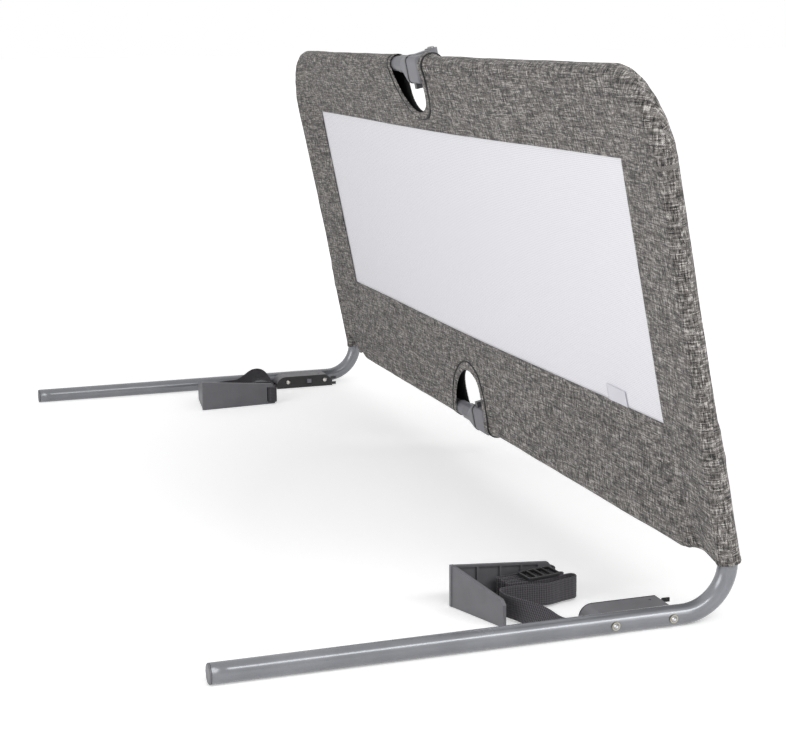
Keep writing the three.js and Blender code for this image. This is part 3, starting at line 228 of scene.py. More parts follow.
def passivated_bolt():
    """Bright domed bolt on a yellow-passivated washer, told apart by how far a place is from the bolt's middle. The
    dome's pale middle is a painted highlight, and the dark ring at its rim is painted shade.
    """
    stain_size, stain_reach, washer_radius = 1.2 * MM, 0.3 * MM, 5 * MM
    material, tree, shader = new_material("zinc_bolt_on_yellow_washer", Metallic=1.0)
    place = add(tree, "TexCoord").outputs["Object"]
    axes = add(tree, "SeparateXYZ", {"Vector": place})
    spot = add(tree, "CombineXYZ", {"Y": axes.outputs["Y"], "Z": axes.outputs["Z"]}).outputs[0]
    reaches = []
    for along in BOLT_PLACES:
        middle = (0.0, (along + SHIFT_Y) * MM, LEG_RADIUS * MM)
        reaches.append(add(tree, "VectorMath", {0: spot, 1: middle}, operation="DISTANCE").outputs["Value"])
    near = add(tree, "Math", {0: reaches[0], 1: reaches[1]}, operation="MINIMUM").outputs[0]
    stain = add(tree, "TexNoise", {"Vector": place, "Scale": 1 / stain_size, "Detail": 3.0}).outputs["Fac"]
    wobble = add(tree, "Math", {0: stain, 1: stain_reach, 2: near}, operation="MULTIPLY_ADD").outputs[0]
    share = add(tree, "MapRange", {"Value": wobble, "From Max": washer_radius}).outputs["Result"]
    # The dome: a pale painted highlight in its middle, then a greyer band and a paler rim
    dome = ((0.16, "#e6e6ea"), (0.3, "#9fa0a6"), (0.5, "#c4c3c2"))
    # The washer: first a dark ring of painted shade where the dome's rim meets it, then its yellow tint, darker towards
    # its outer edge
    washer = ((0.58, "#4a4740"), (0.66, "#c9c6bd"), (0.78, "#b0aa98"), (0.86, "#77705f"))
    tint = add(tree, "ValToRGB", {"Fac": share}, dome + washer)
    rough = add(tree, "MapRange", {"Value": stain, "To Min": 0.22, "To Max": 0.4})
    feed(tree, shader, Base_Color=tint.outputs["Color"], Roughness=rough.outputs["Result"])
    return material


def thread_field(tree, across, along, pitch, slub, seed):
    """A value that stays with one thread, and drifts along it like spun yarn."""
    jump = 7.31  # how far apart neighbouring threads lie in the noise, so that they share nothing
    number = add(tree, "Math", {0: across, 1: 1 / pitch}, operation="MULTIPLY")
    thread = add(tree, "Math", {0: number.outputs[0]}, operation="FLOOR")
    spread = add(tree, "Math", {0: thread.outputs[0], 1: jump}, operation="MULTIPLY")
    run = add(tree, "Math", {0: along, 1: 1 / slub}, operation="MULTIPLY")
    spot = add(tree, "CombineXYZ", {"X": spread.outputs[0], "Y": run.outputs[0], "Z": seed})
    yarn = add(tree, "TexNoise", {"Vector": spot.outputs[0], "Scale": 1.0, "Detail": 1.5, "Roughness": 0.6})
    return yarn.outputs["Fac"], number.outputs[0]


def melange_linen():
    """Melange linen-look polyester: pale and charcoal slub yarns in a plain weave, crisp along both threads."""
    # Real yarns lie 0.5 mm apart: they are drawn 0.9 mm and wider, so that the streaks show
    fine_pitch, fine_slub = 0.9 * MM, 5.0 * MM
    warp_pitch, warp_slub = 1.5 * MM, 10.0 * MM
    weft_pitch, weft_slub = 1.05 * MM, 18.0 * MM
    wander_size, wander_reach = 140 * MM, 3 * MM
    warp_part, fine_part = 1.1, 1.2
    material, tree, shader = new_material("melange_linen_weave", Roughness=0.92, Sheen_Weight=0.1, Sheen_Roughness=0.5)
    uv = add(tree, "UVMap", uv_map="weave").outputs["UV"]
    axes = add(tree, "SeparateXYZ", {"Vector": uv})
    wander = add(tree, "TexNoise", {"Vector": uv, "Scale": 1 / wander_size, "Detail": 1.0}).outputs["Fac"]
    sway = add(tree, "MapRange", {"Value": wander, "To Min": -wander_reach, "To Max": wander_reach})
    across = add(tree, "Math", {0: axes.outputs["X"], 1: sway.outputs["Result"]}, operation="ADD").outputs[0]
    up = add(tree, "Math", {0: axes.outputs["Y"], 1: sway.outputs["Result"]}, operation="ADD").outputs[0]
    warp, warp_number = thread_field(tree, across, up, fine_pitch, fine_slub, 1.7)
    weft, weft_number = thread_field(tree, up, across, fine_pitch, fine_slub, 9.3)
    warp_bold, _ = thread_field(tree, across, up, warp_pitch, warp_slub, 4.1)
    weft_bold, _ = thread_field(tree, up, across, weft_pitch, weft_slub, 6.6)
    half_warp = add(tree, "Math", {0: warp_number, 1: math.pi}, operation="MULTIPLY")
    half_weft = add(tree, "Math", {0: weft_number, 1: math.pi}, operation="MULTIPLY")
    warp_wave = add(tree, "Math", {0: half_warp.outputs[0]}, operation="SINE").outputs[0]
    weft_wave = add(tree, "Math", {0: half_weft.outputs[0]}, operation="SINE").outputs[0]
    crossing = add(tree, "Math", {0: warp_wave, 1: weft_wave}, operation="MULTIPLY").outputs[0]
    over = add(tree, "MapRange", {"Value": crossing, "From Min": -0.35, "From Max": 0.35}).outputs["Result"]
    fine = add(tree, "Mix", {0: over, 2: warp, 3: weft}, data_type="FLOAT").outputs[0]
    bold = add(tree, "Math", {0: warp_bold, 1: warp_part, 2: weft_bold}, operation="MULTIPLY_ADD").outputs[0]
    tone = add(tree, "Math", {0: fine, 1: fine_part, 2: bold}, operation="MULTIPLY_ADD").outputs[0]
    whole = 1 + warp_part + fine_part
    level = add(tree, "Math", {0: tone, 1: 1 / whole}, operation="MULTIPLY").outputs[0]
    yarns = ((0.39, "#1b1a1a"), (0.45, "#4a4745"), (0.5, "#706c69"), (0.55, "#94908d"), (0.61, "#d4cfca"))
    tint = add(tree, "ValToRGB", {"Fac": level}, yarns)
    rise = add(tree, "Math", {0: crossing}, operation="ABSOLUTE").outputs[0]
    height = add(tree, "Math", {0: bold, 1: 0.8, 2: rise}, operation="MULTIPLY_ADD").outputs[0]
    bump = add(tree, "Bump", {"Height": height, "Strength": 0.5, "Distance": 0.35 * MM})
    feed(tree, shader, Base_Color=tint.outputs["Color"], Normal=bump.outputs["Normal"])
    return material


def black_lining():
    """Black brushed-tricot lining inside the cover, almost without gloss, in loops 0.9 mm apart."""
    loop_pitch = 0.9 * MM
    material, tree, shader = new_material("black_tricot_lining", Roughness=0.95)
    uv = add(tree, "UVMap", uv_map="weave").outputs["UV"]
    knit = add(tree, "TexNoise", {"Vector": uv, "Scale": 1 / loop_pitch, "Detail": 3.0}).outputs["Fac"]
    tint = add(tree, "ValToRGB", {"Fac": knit}, ((0.3, "#0b0b0c"), (0.7, "#1b1b1d")))
    bump = add(tree, "Bump", {"Height": knit, "Strength": 0.3, "Distance": 0.2 * MM})
    feed(tree, shader, Base_Color=tint.outputs["Color"], Normal=bump.outputs["Normal"])
    return material


def air_mesh():
    """Warp-knitted polyester air mesh: white with a lilac cast, in rows of small open holes 2.4 mm apart."""
    row_turns = 2 * math.pi / (2.4 * MM)
    material, tree, shader = new_material("white_air_mesh", Roughness=0.75, Sheen_Weight=0.15)
    uv = add(tree, "UVMap", uv_map="weave").outputs["UV"]
    axes = add(tree, "SeparateXYZ", {"Vector": uv})
    one = add(tree, "Math", {0: axes.outputs["X"], 1: row_turns}, operation="MULTIPLY").outputs[0]
    other = add(tree, "Math", {0: axes.outputs["Y"], 1: row_turns * 0.62}, operation="MULTIPLY").outputs[0]
    rows = add(tree, "Math", {0: one}, operation="COSINE").outputs[0]
    columns = add(tree, "Math", {0: other}, operation="COSINE").outputs[0]
    hole = add(tree, "Math", {0: rows, 1: columns}, operation="MULTIPLY").outputs[0]
    gap = add(tree, "MapRange", {"Value": hole, "From Min": 0.45, "From Max": 0.75}).outputs["Result"]
    tone = add(tree, "Mix", {0: gap, 6: linear("#fbfaff"), 7: linear("#e4e2ec")}, data_type="RGBA")
    bump = add(tree, "Bump", {"Height": hole, "Strength": 0.12, "Distance": 0.2 * MM}, invert=True)
    cover_share = add(tree, "MapRange", {"Value": gap, "To Min": 1.0, "To Max": 0.7}).outputs["Result"]
    feed(tree, shader, Base_Color=tone.outputs[2], Normal=bump.outputs["Normal"], Alpha=cover_share)
    return material


def ribbed_webbing():
    """Charcoal polyester webbing: ribs 1.7 mm apart across the strap, and woven columns 2.2 mm apart along it."""
    rib_turns, column_turns, fuzz_size = 2 * math.pi / (1.7 * MM), 2 * math.pi / (2.2 * MM), 1.1 * MM
    material, tree, shader = new_material(
        "charcoal_ribbed_webbing", Roughness=0.8, Sheen_Weight=0.2, Sheen_Roughness=0.4,
    )
    uv = add(tree, "UVMap", uv_map="weave").outputs["UV"]
    axes = add(tree, "SeparateXYZ", {"Vector": uv})
    along = add(tree, "Math", {0: axes.outputs["X"], 1: rib_turns}, operation="MULTIPLY").outputs[0]
    ribs = add(tree, "Math", {0: along}, operation="SINE").outputs[0]
    across = add(tree, "Math", {0: axes.outputs["Y"], 1: column_turns}, operation="MULTIPLY").outputs[0]
    columns = add(tree, "Math", {0: across}, operation="COSINE").outputs[0]
    weave = add(tree, "Math", {0: columns, 1: 0.45, 2: ribs}, operation="MULTIPLY_ADD").outputs[0]
    fuzz = add(tree, "TexNoise", {"Vector": uv, "Scale": 1 / fuzz_size, "Detail": 4.0}).outputs["Fac"]
    mixed = add(tree, "Math", {0: fuzz, 1: 1.6, 2: weave}, operation="MULTIPLY_ADD").outputs[0]
    level = add(tree, "MapRange", {"Value": mixed, "From Min": -0.9, "From Max": 2.4}).outputs["Result"]
    tint = add(tree, "ValToRGB", {"Fac": level}, ((0.15, "#1b1a1b"), (0.85, "#57545a")))
    bump = add(tree, "Bump", {"Height": mixed, "Strength": 0.6, "Distance": 0.3 * MM})
    feed(tree, shader, Base_Color=tint.outputs["Color"], Normal=bump.outputs["Normal"])
    return material


def satin_tape():
    """White woven satin tape with a soft sheen and fine cross threads."""
    # Real threads lie 0.5 mm apart: the waves come out 1 mm apart, so that they show
    wave_scale = 1 / (3.1 * MM)
    material, tree, shader = new_material("white_satin_tape", Roughness=0.45, Sheen_Weight=0.3)
    uv = add(tree, "UVMap", uv_map="weave").outputs["UV"]
    threads = add(
        tree, "TexWave", {"Vector": uv, "Scale": wave_scale, "Distortion": 0.6}, bands_direction="Y",
    ).outputs["Fac"]
    tint = add(tree, "ValToRGB", {"Fac": threads}, ((0.0, "#e0dfe8"), (1.0, "#f1f0f8")))
    feed(tree, shader, Base_Color=tint.outputs["Color"])
    return material


def studio_white():
    """Pale studio floor: it keeps the object's shadow, and the camera sees its lit part as white. Its glow grows with
    distance from shadow_middle: far off it whitens the floor, and near the object it is weaker, which paints a pale
    grey shade there.
    """
    lift_near, lift_far, near_reach, far_reach = 0.3, 0.76, 0.4, 1.45
    stretch, shadow_middle = (1.0, 1.8, 0.0), (0.25, 0.18, 0.0)
    material, tree, shader = new_material("pale_studio_floor", Roughness=0.9)
    place = add(tree, "TexCoord").outputs["Object"]
    grain = add(tree, "TexNoise", {"Vector": place, "Scale": 40.0, "Detail": 3.0}).outputs["Fac"]
    tone = add(tree, "Mix", {0: grain, 6: linear("#f4f4f4"), 7: linear("#fafafa")}, data_type="RGBA")
    feed(tree, shader, Base_Color=tone.outputs[2])
    rays = add(tree, "LightPath").outputs
    either = add(tree, "Math", {0: rays["Is Camera Ray"], 1: rays["Is Glossy Ray"]}, operation="ADD")
    seen = add(tree, "Math", {0: either.outputs[0], 1: rays["Is Transmission Ray"]}, operation="ADD")
    # Weaker glow round shadow_middle: painted shade on the floor near the object
    spread = add(tree, "VectorMath", {0: place, 1: stretch}, operation="MULTIPLY").outputs[0]
    reach = add(tree, "VectorMath", {0: spread, 1: shadow_middle}, operation="DISTANCE").outputs["Value"]
    lift = add(tree, "MapRange", {
        "Value": reach, "From Min": near_reach, "From Max": far_reach, "To Min": lift_near, "To Max": lift_far,
    }).outputs["Result"]
    strength = add(tree, "Math", {0: seen.outputs[0], 1: lift}, operation="MULTIPLY")
    glow = add(tree, "Emission", {"Color": (1, 1, 1, 1), "Strength": strength.outputs[0]})
    both = add(tree, "AddShader", {0: shader.outputs[0], 1: glow.outputs[0]})
    tree.links.new(both.outputs[0], tree.nodes["Material Output"].inputs["Surface"])
    return material


tube_paint = satin_tube_paint()
hinge_plastic = moulded("grey_moulded_nylon", "#68686d", "#7e7e84", 0.4, 0.52)
anchor_plastic = moulded("slate_moulded_abs", "#5a5a5e", "#6f6f73", 0.42, 0.55)
black_plastic = moulded("black_moulded_nylon", "#151516", "#2b2b2d", 0.35, 0.5)
button_plastic = moulded("dark_grey_button_nylon", "#38383a", "#4f4f52", 0.38, 0.5)
zinc = plated("bright_zinc_plate", "#b9b6ad", "#dcdad4", 0.2, 0.36)
bolt_plate = passivated_bolt()
steel = plated("drawn_steel", "#8d8d8b", "#b3b2af", 0.28, 0.42)
linen = melange_linen()
# The black cord round the cut-outs is painted shade for the shadowed gap there, drawn as matt plastic with a finer
# grain
shade_cord_material = moulded("black_cord_fold_shade", "#1a1a1b", "#2e2d2e", 0.6, 0.8, 0.3)
lining = black_lining()
mesh_cloth = air_mesh()
webbing = ribbed_webbing()
label_tape = satin_tape()
SLOT_MATERIALS = {
    "tube": tube_paint, "plastic": anchor_plastic, "dark_plastic": black_plastic, "zinc": zinc,
    "steel": steel, "webbing": webbing, "cover": linen, "mesh": mesh_cloth,
}


# ---- meshes ----
def mesh_piece(name, points, faces, material, uvs=None, smooth=True):
    """A mesh object in the part's frame. uvs holds one pair for each corner of each face, in metres."""
    mesh = bpy.data.meshes.new(name)
    mesh.from_pydata([tuple(p) for p in points], [], faces)
    mesh.materials.append(material)
    mesh.polygons.foreach_set("use_smooth", [smooth] * len(mesh.polygons))
    if uvs is not None:
        layer = mesh.uv_layers.new(name="weave")
        layer.data.foreach_set("uv", np.array(uvs, np.float32).ravel())
    mesh.update()
    piece = bpy.data.objects.new(name, mesh)
    bpy.context.scene.collection.objects.link(piece)
    return piece


def quads(rows, columns):
    """Each quad of a grid, as the row and column of its four corners."""
    for j in range(rows):
        for i in range(columns):
            yield (j, i), (j, i + 1), (j + 1, i + 1), (j + 1, i)


def smoothstep(low, high, value):
    """Rises softly from 0 at low to 1 at high."""
    share = min(max((value - low) / (high - low), 0.0), 1.0)
    return share * share * (3 - 2 * share)


def modify(piece, kind, name, **settings):
    """Adds a modifier with its settings."""
    modifier = piece.modifiers.new(name, kind)
    for key, value in settings.items():
        setattr(modifier, key, value)
    return modifier


def tube_rings(stations, radius, sides=48):
    """Rings of points round a path that lies square to the x axis."""
    rings = []
    for k, here in enumerate(stations):
        before, after = stations[max(k - 1, 0)], stations[min(k + 1, len(stations) - 1)]
        along = (after - before).normalized()
        side = Vector((1, 0, 0))
        other = along.cross(side).normalized()
        rings.append([
            here + (side * math.cos(a) + other * math.sin(a)) * radius * MM
            for a in (2 * math.pi * j / sides for j in range(sides))
        ])
    return rings


def skin(rings, loop=False):
    """Quads between rings, with a flat cap at each end unless the rings close on themselves."""
    count = len(rings[0])
    points = [p for ring in rings for p in ring]
    rows = len(rings) if loop else len(rings) - 1
    faces = [tuple(r % len(rings) * count + c % count for r, c in quad) for quad in quads(rows, count)]
    if not loop:
        faces.append(tuple(reversed(range(count))))
        faces.append(tuple((len(rings) - 1) * count + k for k in range(count)))
    return points, faces


def leg_path(side):
    """The leg's centre line from its floor tip, round the bend and up to its top."""
    up = Vector((0, -math.sin(LEAN), math.cos(LEAN)))
    into = Vector((0, 1, 0))
    turn = into.angle(up)
    reach = LEG_BEND * math.tan(turn / 2)
    inward = (up - into * up.dot(into)).normalized()
    floor_run = np.linspace(-LEG_REACH + PLUG_FLANGE, -reach - 1, 26)
    points = [Vector((side * HALF_WIDTH, y, LEG_RADIUS)) for y in floor_run]
    start, steps = Vector((side * HALF_WIDTH, -reach, LEG_RADIUS)), 24
    for k in range(steps + 1):
        angle = turn * k / steps
        points.append(start + into * LEG_BEND * math.sin(angle) + inward * LEG_BEND * (1 - math.cos(angle)))
    foot = Vector((side * HALF_WIDTH, 0, LEG_RADIUS))
    points += [foot + up * along for along in np.linspace(reach + 2, LEG_TOP, 10)]
    return [on_floor(*p) for p in points]


def make_leg(side_name, side):
    """The floor leg: one bent tube with an open upper end that takes the frame's upright."""
    path = leg_path(side)
    outside, inside = tube_rings(path, LEG_RADIUS), tube_rings(path, LEG_BORE)
    # The cut end is rounded over by a few tenths, outside and inside
    end = path[-2:]
    lip_out, lip_in = tube_rings(end, LEG_RADIUS - 0.4)[-1], tube_rings(end, LEG_BORE + 0.3)[-1]
    rise = (end[1] - end[0]).normalized() * 0.3 * MM
    rings = outside + [[p + rise for p in lip_out], [p + rise for p in lip_in]] + inside[::-1]
    points, faces = skin(rings, loop=True)
    leg = mesh_piece(f"bent_leg_{side_name}", points, faces, tube_paint)
    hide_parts(f"leg_tube_{side_name}")
    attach(leg, f"leg_{side_name}")


# ---- the cloth cover ----
SLEEVE = 11.0  # the sleeve's radius over the legs' tubes
RAIL_SLEEVE = 9.5
HEM_THIN = 1.2  # half the hem's thickness where no rail fills it
EDGE_HALF = 1.5  # half the thickness of the two layers where they meet
MESH_X = 500.0
MESH_LOW, MESH_HIGH = 161.0, 420.0
SIDE_BAND, TOP_BAND, LOW_BAND = HALF_WIDTH - MESH_X, TOP_HEIGHT - MESH_HIGH, MESH_LOW - RAIL_HEIGHT
STRIP_FLARE = 16.0  # how much further out the side strips' lower seams end at the hem
MOUTH = 48.5  # the height of the sleeves' open lower ends
SLEEVE_END, BAND_TOP = 46.0, 58.0  # the turned-up band round each leg there
CUT_TOP = {"level": TOP_HEIGHT, "middle": FOLD_X - 10, "half": 57.0, "depth": 56.0, "inward": -1}
CUT_LOW = {"level": RAIL_HEIGHT, "middle": FOLD_X - 17, "half": 54.0, "depth": 62.0, "inward": 1}
RING = 11.0  # from a cut-out's edge to the stitched groove round it, where a black cord of painted shade runs
CLOTH = 0.9
WINDOW_SAG = -3.0
WRAP_STEPS = 14  # faces round half a sleeve
STEP, FINE_STEP, FINE_RUN = 5.0, 1.1, 22.0  # stations along the tubes, and their finer run beside a cut-out
HEM_END = HALF_WIDTH - SLEEVE - 1
# Where the side strips, the back and the turned-up bands are cut from the flat cloth
STRIP_SHIFT, BACK_SHIFT, BAND_SHIFT = (900.0, 333.0), 2600.0, (1500.0, 333.0)


def outer_depth(x, s):
    """How far a place is in from the middle line of the upper tube and the uprights."""
    cx, cs = HALF_WIDTH - CORNER, TOP_HEIGHT - CORNER
    if abs(x) > cx and s > cs:
        return CORNER - math.hypot(abs(x) - cx, s - cs)
    return min(TOP_HEIGHT - s, HALF_WIDTH - abs(x)) if s > cs else HALF_WIDTH - abs(x)


def outer_tail(x, s):
    """How far in the cover's two layers meet: nearer at the cut-out, where they are stitched together."""
    cx, cs = HALF_WIDTH - CORNER, TOP_HEIGHT - CORNER
    lean = math.atan2(max(s - cs, 0.0), max(abs(x) - cx, 1e-6)) / (math.pi / 2)
    band = SIDE_BAND + (TOP_BAND - SIDE_BAND) * lean
    near = 1 - smoothstep(45, 120, abs(x - FOLD_X))
    return band + (CUT_TOP["depth"] + RING - band) * near * smoothstep(380, 440, s)


def tent(depth, tail, radius, edge=EDGE_HALF):
    """Half the cover's thickness: round the tube, then straight to where the layers meet."""
    reach = math.hypot(tail, edge)
    angle = math.atan2(edge, tail) + math.acos(min(radius / reach, 1.0))
    touch = radius * math.cos(angle)
    if depth <= touch:
        return math.sqrt(max(radius * radius - depth * depth, 0.0))
    if depth >= tail:
        return edge
    high = radius * math.sin(angle)
    return high + (edge - high) * (depth - touch) / (tail - touch)


def hem_middle(x):
    """The height of the hem's middle line: its lower edge is level along the rail, then rises a little."""
    if HALF_WIDTH - abs(x) < SLEEVE:
        return MOUTH - 0.5
    past_rail = smoothstep(RAIL_REACH - 12, RAIL_REACH + 18, abs(x))
    at_leg = smoothstep(HALF_WIDTH - 48, HALF_WIDTH - 24, abs(x))
    turn = smoothstep(HALF_WIDTH - 24, HALF_WIDTH - SLEEVE, abs(x))
    edge = RAIL_HEIGHT - RAIL_SLEEVE + 5.5 * (past_rail - at_leg)
    return edge + (MOUTH - HEM_THIN - 0.5 - edge) * turn + hem_radius(x)


def hem_radius(x):
    """Half the hem's thickness: the rail's sleeve, then two layers sewn edge to edge."""
    away = HALF_WIDTH - abs(x)
    if away < SLEEVE:
        return max(math.sqrt(SLEEVE * SLEEVE - away * away), HEM_THIN)
    return HEM_THIN + (RAIL_SLEEVE - HEM_THIN) * (1 - smoothstep(RAIL_REACH + 1, RAIL_REACH + 26, abs(x)))


def lip(x, cut):
    """How far the sleeve stands off at a cut-out, where it makes room for the hinge's block."""
    edge = cut["middle"] + cut["half"]
    if x >= edge - 30:
        return 4.5 * math.exp(-((max(x - edge - 4, 0) / 14) ** 2)) * smoothstep(edge - 30, edge - 4, x)
    return 0.8 * math.exp(-((max(cut["middle"] - cut["half"] - x, 0) / 14) ** 2))


def ring_distance(x, s):
    """How far a place is from the stitched line that follows each cut-out."""
    found = 1e9
    for cut in (CUT_TOP, CUT_LOW):
        u, v = abs(x - cut["middle"]), (s - cut["level"]) * cut["inward"]
        a, b = cut["half"] + RING, cut["depth"] + RING
        if v <= 0:
            found = min(found, abs(u - a))
            continue
        scale = math.hypot(u / a, v / b)
        found = min(found, abs(scale - 1) * scale / max(math.hypot(u / a ** 2, v / b ** 2), 1e-6))
    return found


def strip_edge(s):
    """How far out the side strips' seam lies below the window: it leans out towards the hem."""
    return MESH_X + STRIP_FLARE * (MESH_LOW - s) / LOW_BAND


def seam_distance(x, s):
    """How far a place is from the seams that join the side strips to the upper and lower bands."""
    found = 1e9
    if abs(x) > MESH_X - 1:
        found = abs(s - MESH_HIGH)
    if s < MESH_LOW + 1:
        found = min(found, abs(abs(x) - strip_edge(s)))
    return found


def groove(x, s):
    """How deep the stitching pulls the cloth in."""
    ring, seam = ring_distance(x, s), seam_distance(x, s)
    return 1.1 * math.exp(-(ring / 1.2) ** 2) + 0.45 * math.exp(-(seam / 1.5) ** 2)


def sleeve_radius(x, s):
    """The sleeve is wider over the leg's tube than over the thinner frame tube above it."""
    slim = smoothstep(LEG_TOP - 5, LEG_TOP + 5, s) * (1 - smoothstep(TOP_HEIGHT - 190, TOP_HEIGHT - 60, s))
    return SLEEVE - 1.3 * slim * smoothstep(HALF_WIDTH - 40, HALF_WIDTH - 20, abs(x)) + snap_bump(x, s)


def snap_bump(x, s):
    """The snap cap under the sleeve lifts the cloth a little."""
    return 0.8 * math.exp(-(((s - SNAP_HEIGHT) / 5) ** 2)) * smoothstep(HALF_WIDTH - 25, HALF_WIDTH - 5, abs(x))


def half_thickness(x, s):
    """Half the cover's thickness at a place: upper tube and uprights, lower rail, seams and legs together."""
    depth = outer_depth(x, s)
    upper = tent(depth, outer_tail(x, s), sleeve_radius(x, s) + (lip(x, CUT_TOP) if s > 380 else 0.0))
    radius = hem_radius(x)
    rail = s - hem_middle(x)
    fade = 1 - smoothstep(RAIL_REACH - 5, RAIL_REACH + 45, abs(x))
    near = 1 - smoothstep(45, 130, abs(x - FOLD_X))
    tail = LOW_BAND + (CUT_LOW["depth"] + RING - LOW_BAND) * near
    lower = EDGE_HALF + (tent(max(rail, 0.0), tail, RAIL_SLEEVE + lip(x, CUT_LOW)) - EDGE_HALF) * fade
    full = (upper ** 8 + lower ** 8) ** 0.125
    if s < 170:
        pinch = smoothstep(RAIL_REACH, RAIL_REACH + 15, abs(x))
        pulled = radius + (full - radius) * smoothstep(0, 34, rail)
        away = HALF_WIDTH - abs(x)
        around = math.sqrt(max(SLEEVE * SLEEVE - away * away, 0.0))
        full = full + (max(pulled, around) - full) * pinch
    return max(full - groove(x, s), 0.6)


def wave(point):
    """The cloth's small pulls and slack, as an offset in millimetres that depends on the place alone."""
    x, y, s = point
    calm = 0.45 + 0.55 * smoothstep(120, 30, outer_depth(x, s) if s > 60 else 0)
    slow = noise.noise(Vector((x / 70, y / 40, s / 55)))
    quick = noise.noise(Vector((x / 22, y / 22 + 9, s / 22)))
    # Where the sleeve turns a corner it gathers in small folds that fan out from the bend's middle
    cx, cs = HALF_WIDTH - CORNER, TOP_HEIGHT - CORNER
    fold = 0.0
    if abs(x) > cx - 12 and s > cs - 12:
        angle = math.atan2(s - cs, abs(x) - cx)
        far = math.hypot(abs(x) - cx, s - cs)
        fold = 0.22 * math.sin(angle * 26 + 2.0 * quick) * smoothstep(40, 78, far)
        fold *= smoothstep(-0.15, 0.2, angle) * smoothstep(1.72, 1.35, angle)
    return 0.6 * slow * calm + 0.25 * quick * calm + fold


def window_sag(x, s):
    """The mesh opening's long edges droop a little towards the middle, as the photograph shows."""
    if MESH_LOW - 60 < s < MESH_HIGH + 60 and abs(x) < MESH_X:
        share = math.cos(x / MESH_X * math.pi / 2) ** 2
        if s > (MESH_LOW + MESH_HIGH) / 2:
            return WINDOW_SAG * share * smoothstep(MESH_HIGH + 60, MESH_HIGH, s)
        return WINDOW_SAG * share * smoothstep(MESH_LOW - 60, MESH_LOW, s)
    return 0.0


class Cover:
    """Collects the cover's points and faces. Points that fall together become one."""

    def __init__(self):
        self.points, self.faces, self.uvs, self.seen = [], [], [], {}

    def vertex(self, x, y, s, outward):
        """The number of a point on the cover, moved along its outward direction by the cloth's waves."""
        key = (round(x * 50), round(y * 50), round(s * 50))
        if key not in self.seen:
            push = wave((x, y, s))
            self.seen[key] = len(self.points)
            nx, ny, ns = outward
            place = panel(x + nx * push, y + ny * push, s + ns * push + window_sag(x, s))
            self.points.append(place)
        return self.seen[key]

    def face(self, corners, uvs):
        """A face, without the corners that fell together."""
        if len(set(corners)) < 3:
            return
        kept = [k for k, c in enumerate(corners) if c != corners[k - 1]]
        self.faces.append(tuple(corners[k] for k in kept))
        self.uvs += [uvs[k] for k in kept]


def cloth_shift(x, s, back):
    """Where a place's cloth is cut from: the side strips and the back come from other places of the cloth."""
    across, along = STRIP_SHIFT if s < MESH_HIGH and abs(x) > max(strip_edge(s), MESH_X) else (0.0, 0.0)
    return across + (BACK_SHIFT if back else 0.0), along


def weave_place(x, s, back, reach, outward):
    """Where a place lies on the flat cloth, in metres, at a reach round the tube from its middle line."""
    across, along = cloth_shift(x, s, back)
    return (x + outward[0] * reach + across) * MM, (s + outward[1] * reach + along) * MM


def cut_edge(cut, grow=0.0, steps=40):
    """A cut-out's edge, or a line at a distance outside it, from right to left."""
    a, b = cut["half"] + grow, cut["depth"] + grow
    turns = [math.pi * k / steps for k in range(steps + 1)]
    return [(cut["middle"] + a * math.cos(t), cut["level"] + cut["inward"] * b * math.sin(t)) for t in turns]


def spaced(start, end, step):
    """Evenly spaced values from start to end, about a step apart."""
    count = max(1, round(abs(end - start) / step))
    return list(np.linspace(start, end, count + 1))


def outer_stations():
    """Middles of the tube path with outward directions, from the right sleeve's mouth over to the left one."""
    cx, cs = HALF_WIDTH - CORNER, TOP_HEIGHT - CORNER
    right = [((HALF_WIDTH, s), (1.0, 0.0)) for s in spaced(MOUTH, cs, STEP)]
    bend_steps = 32
    for k in range(1, bend_steps + 1):
        a = math.pi / 2 * k / bend_steps
        right.append(((cx + CORNER * math.cos(a), cs + CORNER * math.sin(a)), (math.cos(a), math.sin(a))))
    cut_right, cut_left = CUT_TOP["middle"] + CUT_TOP["half"], CUT_TOP["middle"] - CUT_TOP["half"]
    xs_right = spaced(cx, cut_right + FINE_RUN, STEP)[1:] + spaced(cut_right + FINE_RUN, cut_right, FINE_STEP)[1:]
    xs_left = spaced(cut_left, cut_left - FINE_RUN, FINE_STEP) + spaced(cut_left - FINE_RUN, -cx, STEP)[1:]
    top_right = [((x, TOP_HEIGHT), (0.0, 1.0)) for x in xs_right]
    top_left = [((x, TOP_HEIGHT), (0.0, 1.0)) for x in xs_left]
    left = [((-x, s), (-nx, ns)) for (x, s), (nx, ns) in reversed(right[:-1])]
    return right + top_right, top_left + left


def hem_stations():
    """The same along the hem: from the lower cut-out to its right end, and from the cut-out to its left end."""
    found = []
    for side in (1, -1):
        start = CUT_LOW["middle"] + side * CUT_LOW["half"]
        past = start + side * FINE_RUN
        xs = spaced(start, past, FINE_STEP)[:-1] + spaced(past, side * RAIL_REACH, STEP)[:-1]
        xs += spaced(side * RAIL_REACH, side * HEM_END, STEP / 2)
        found.append([((x, hem_middle(x)), (0.0, -1.0)) for x in xs])
    return found


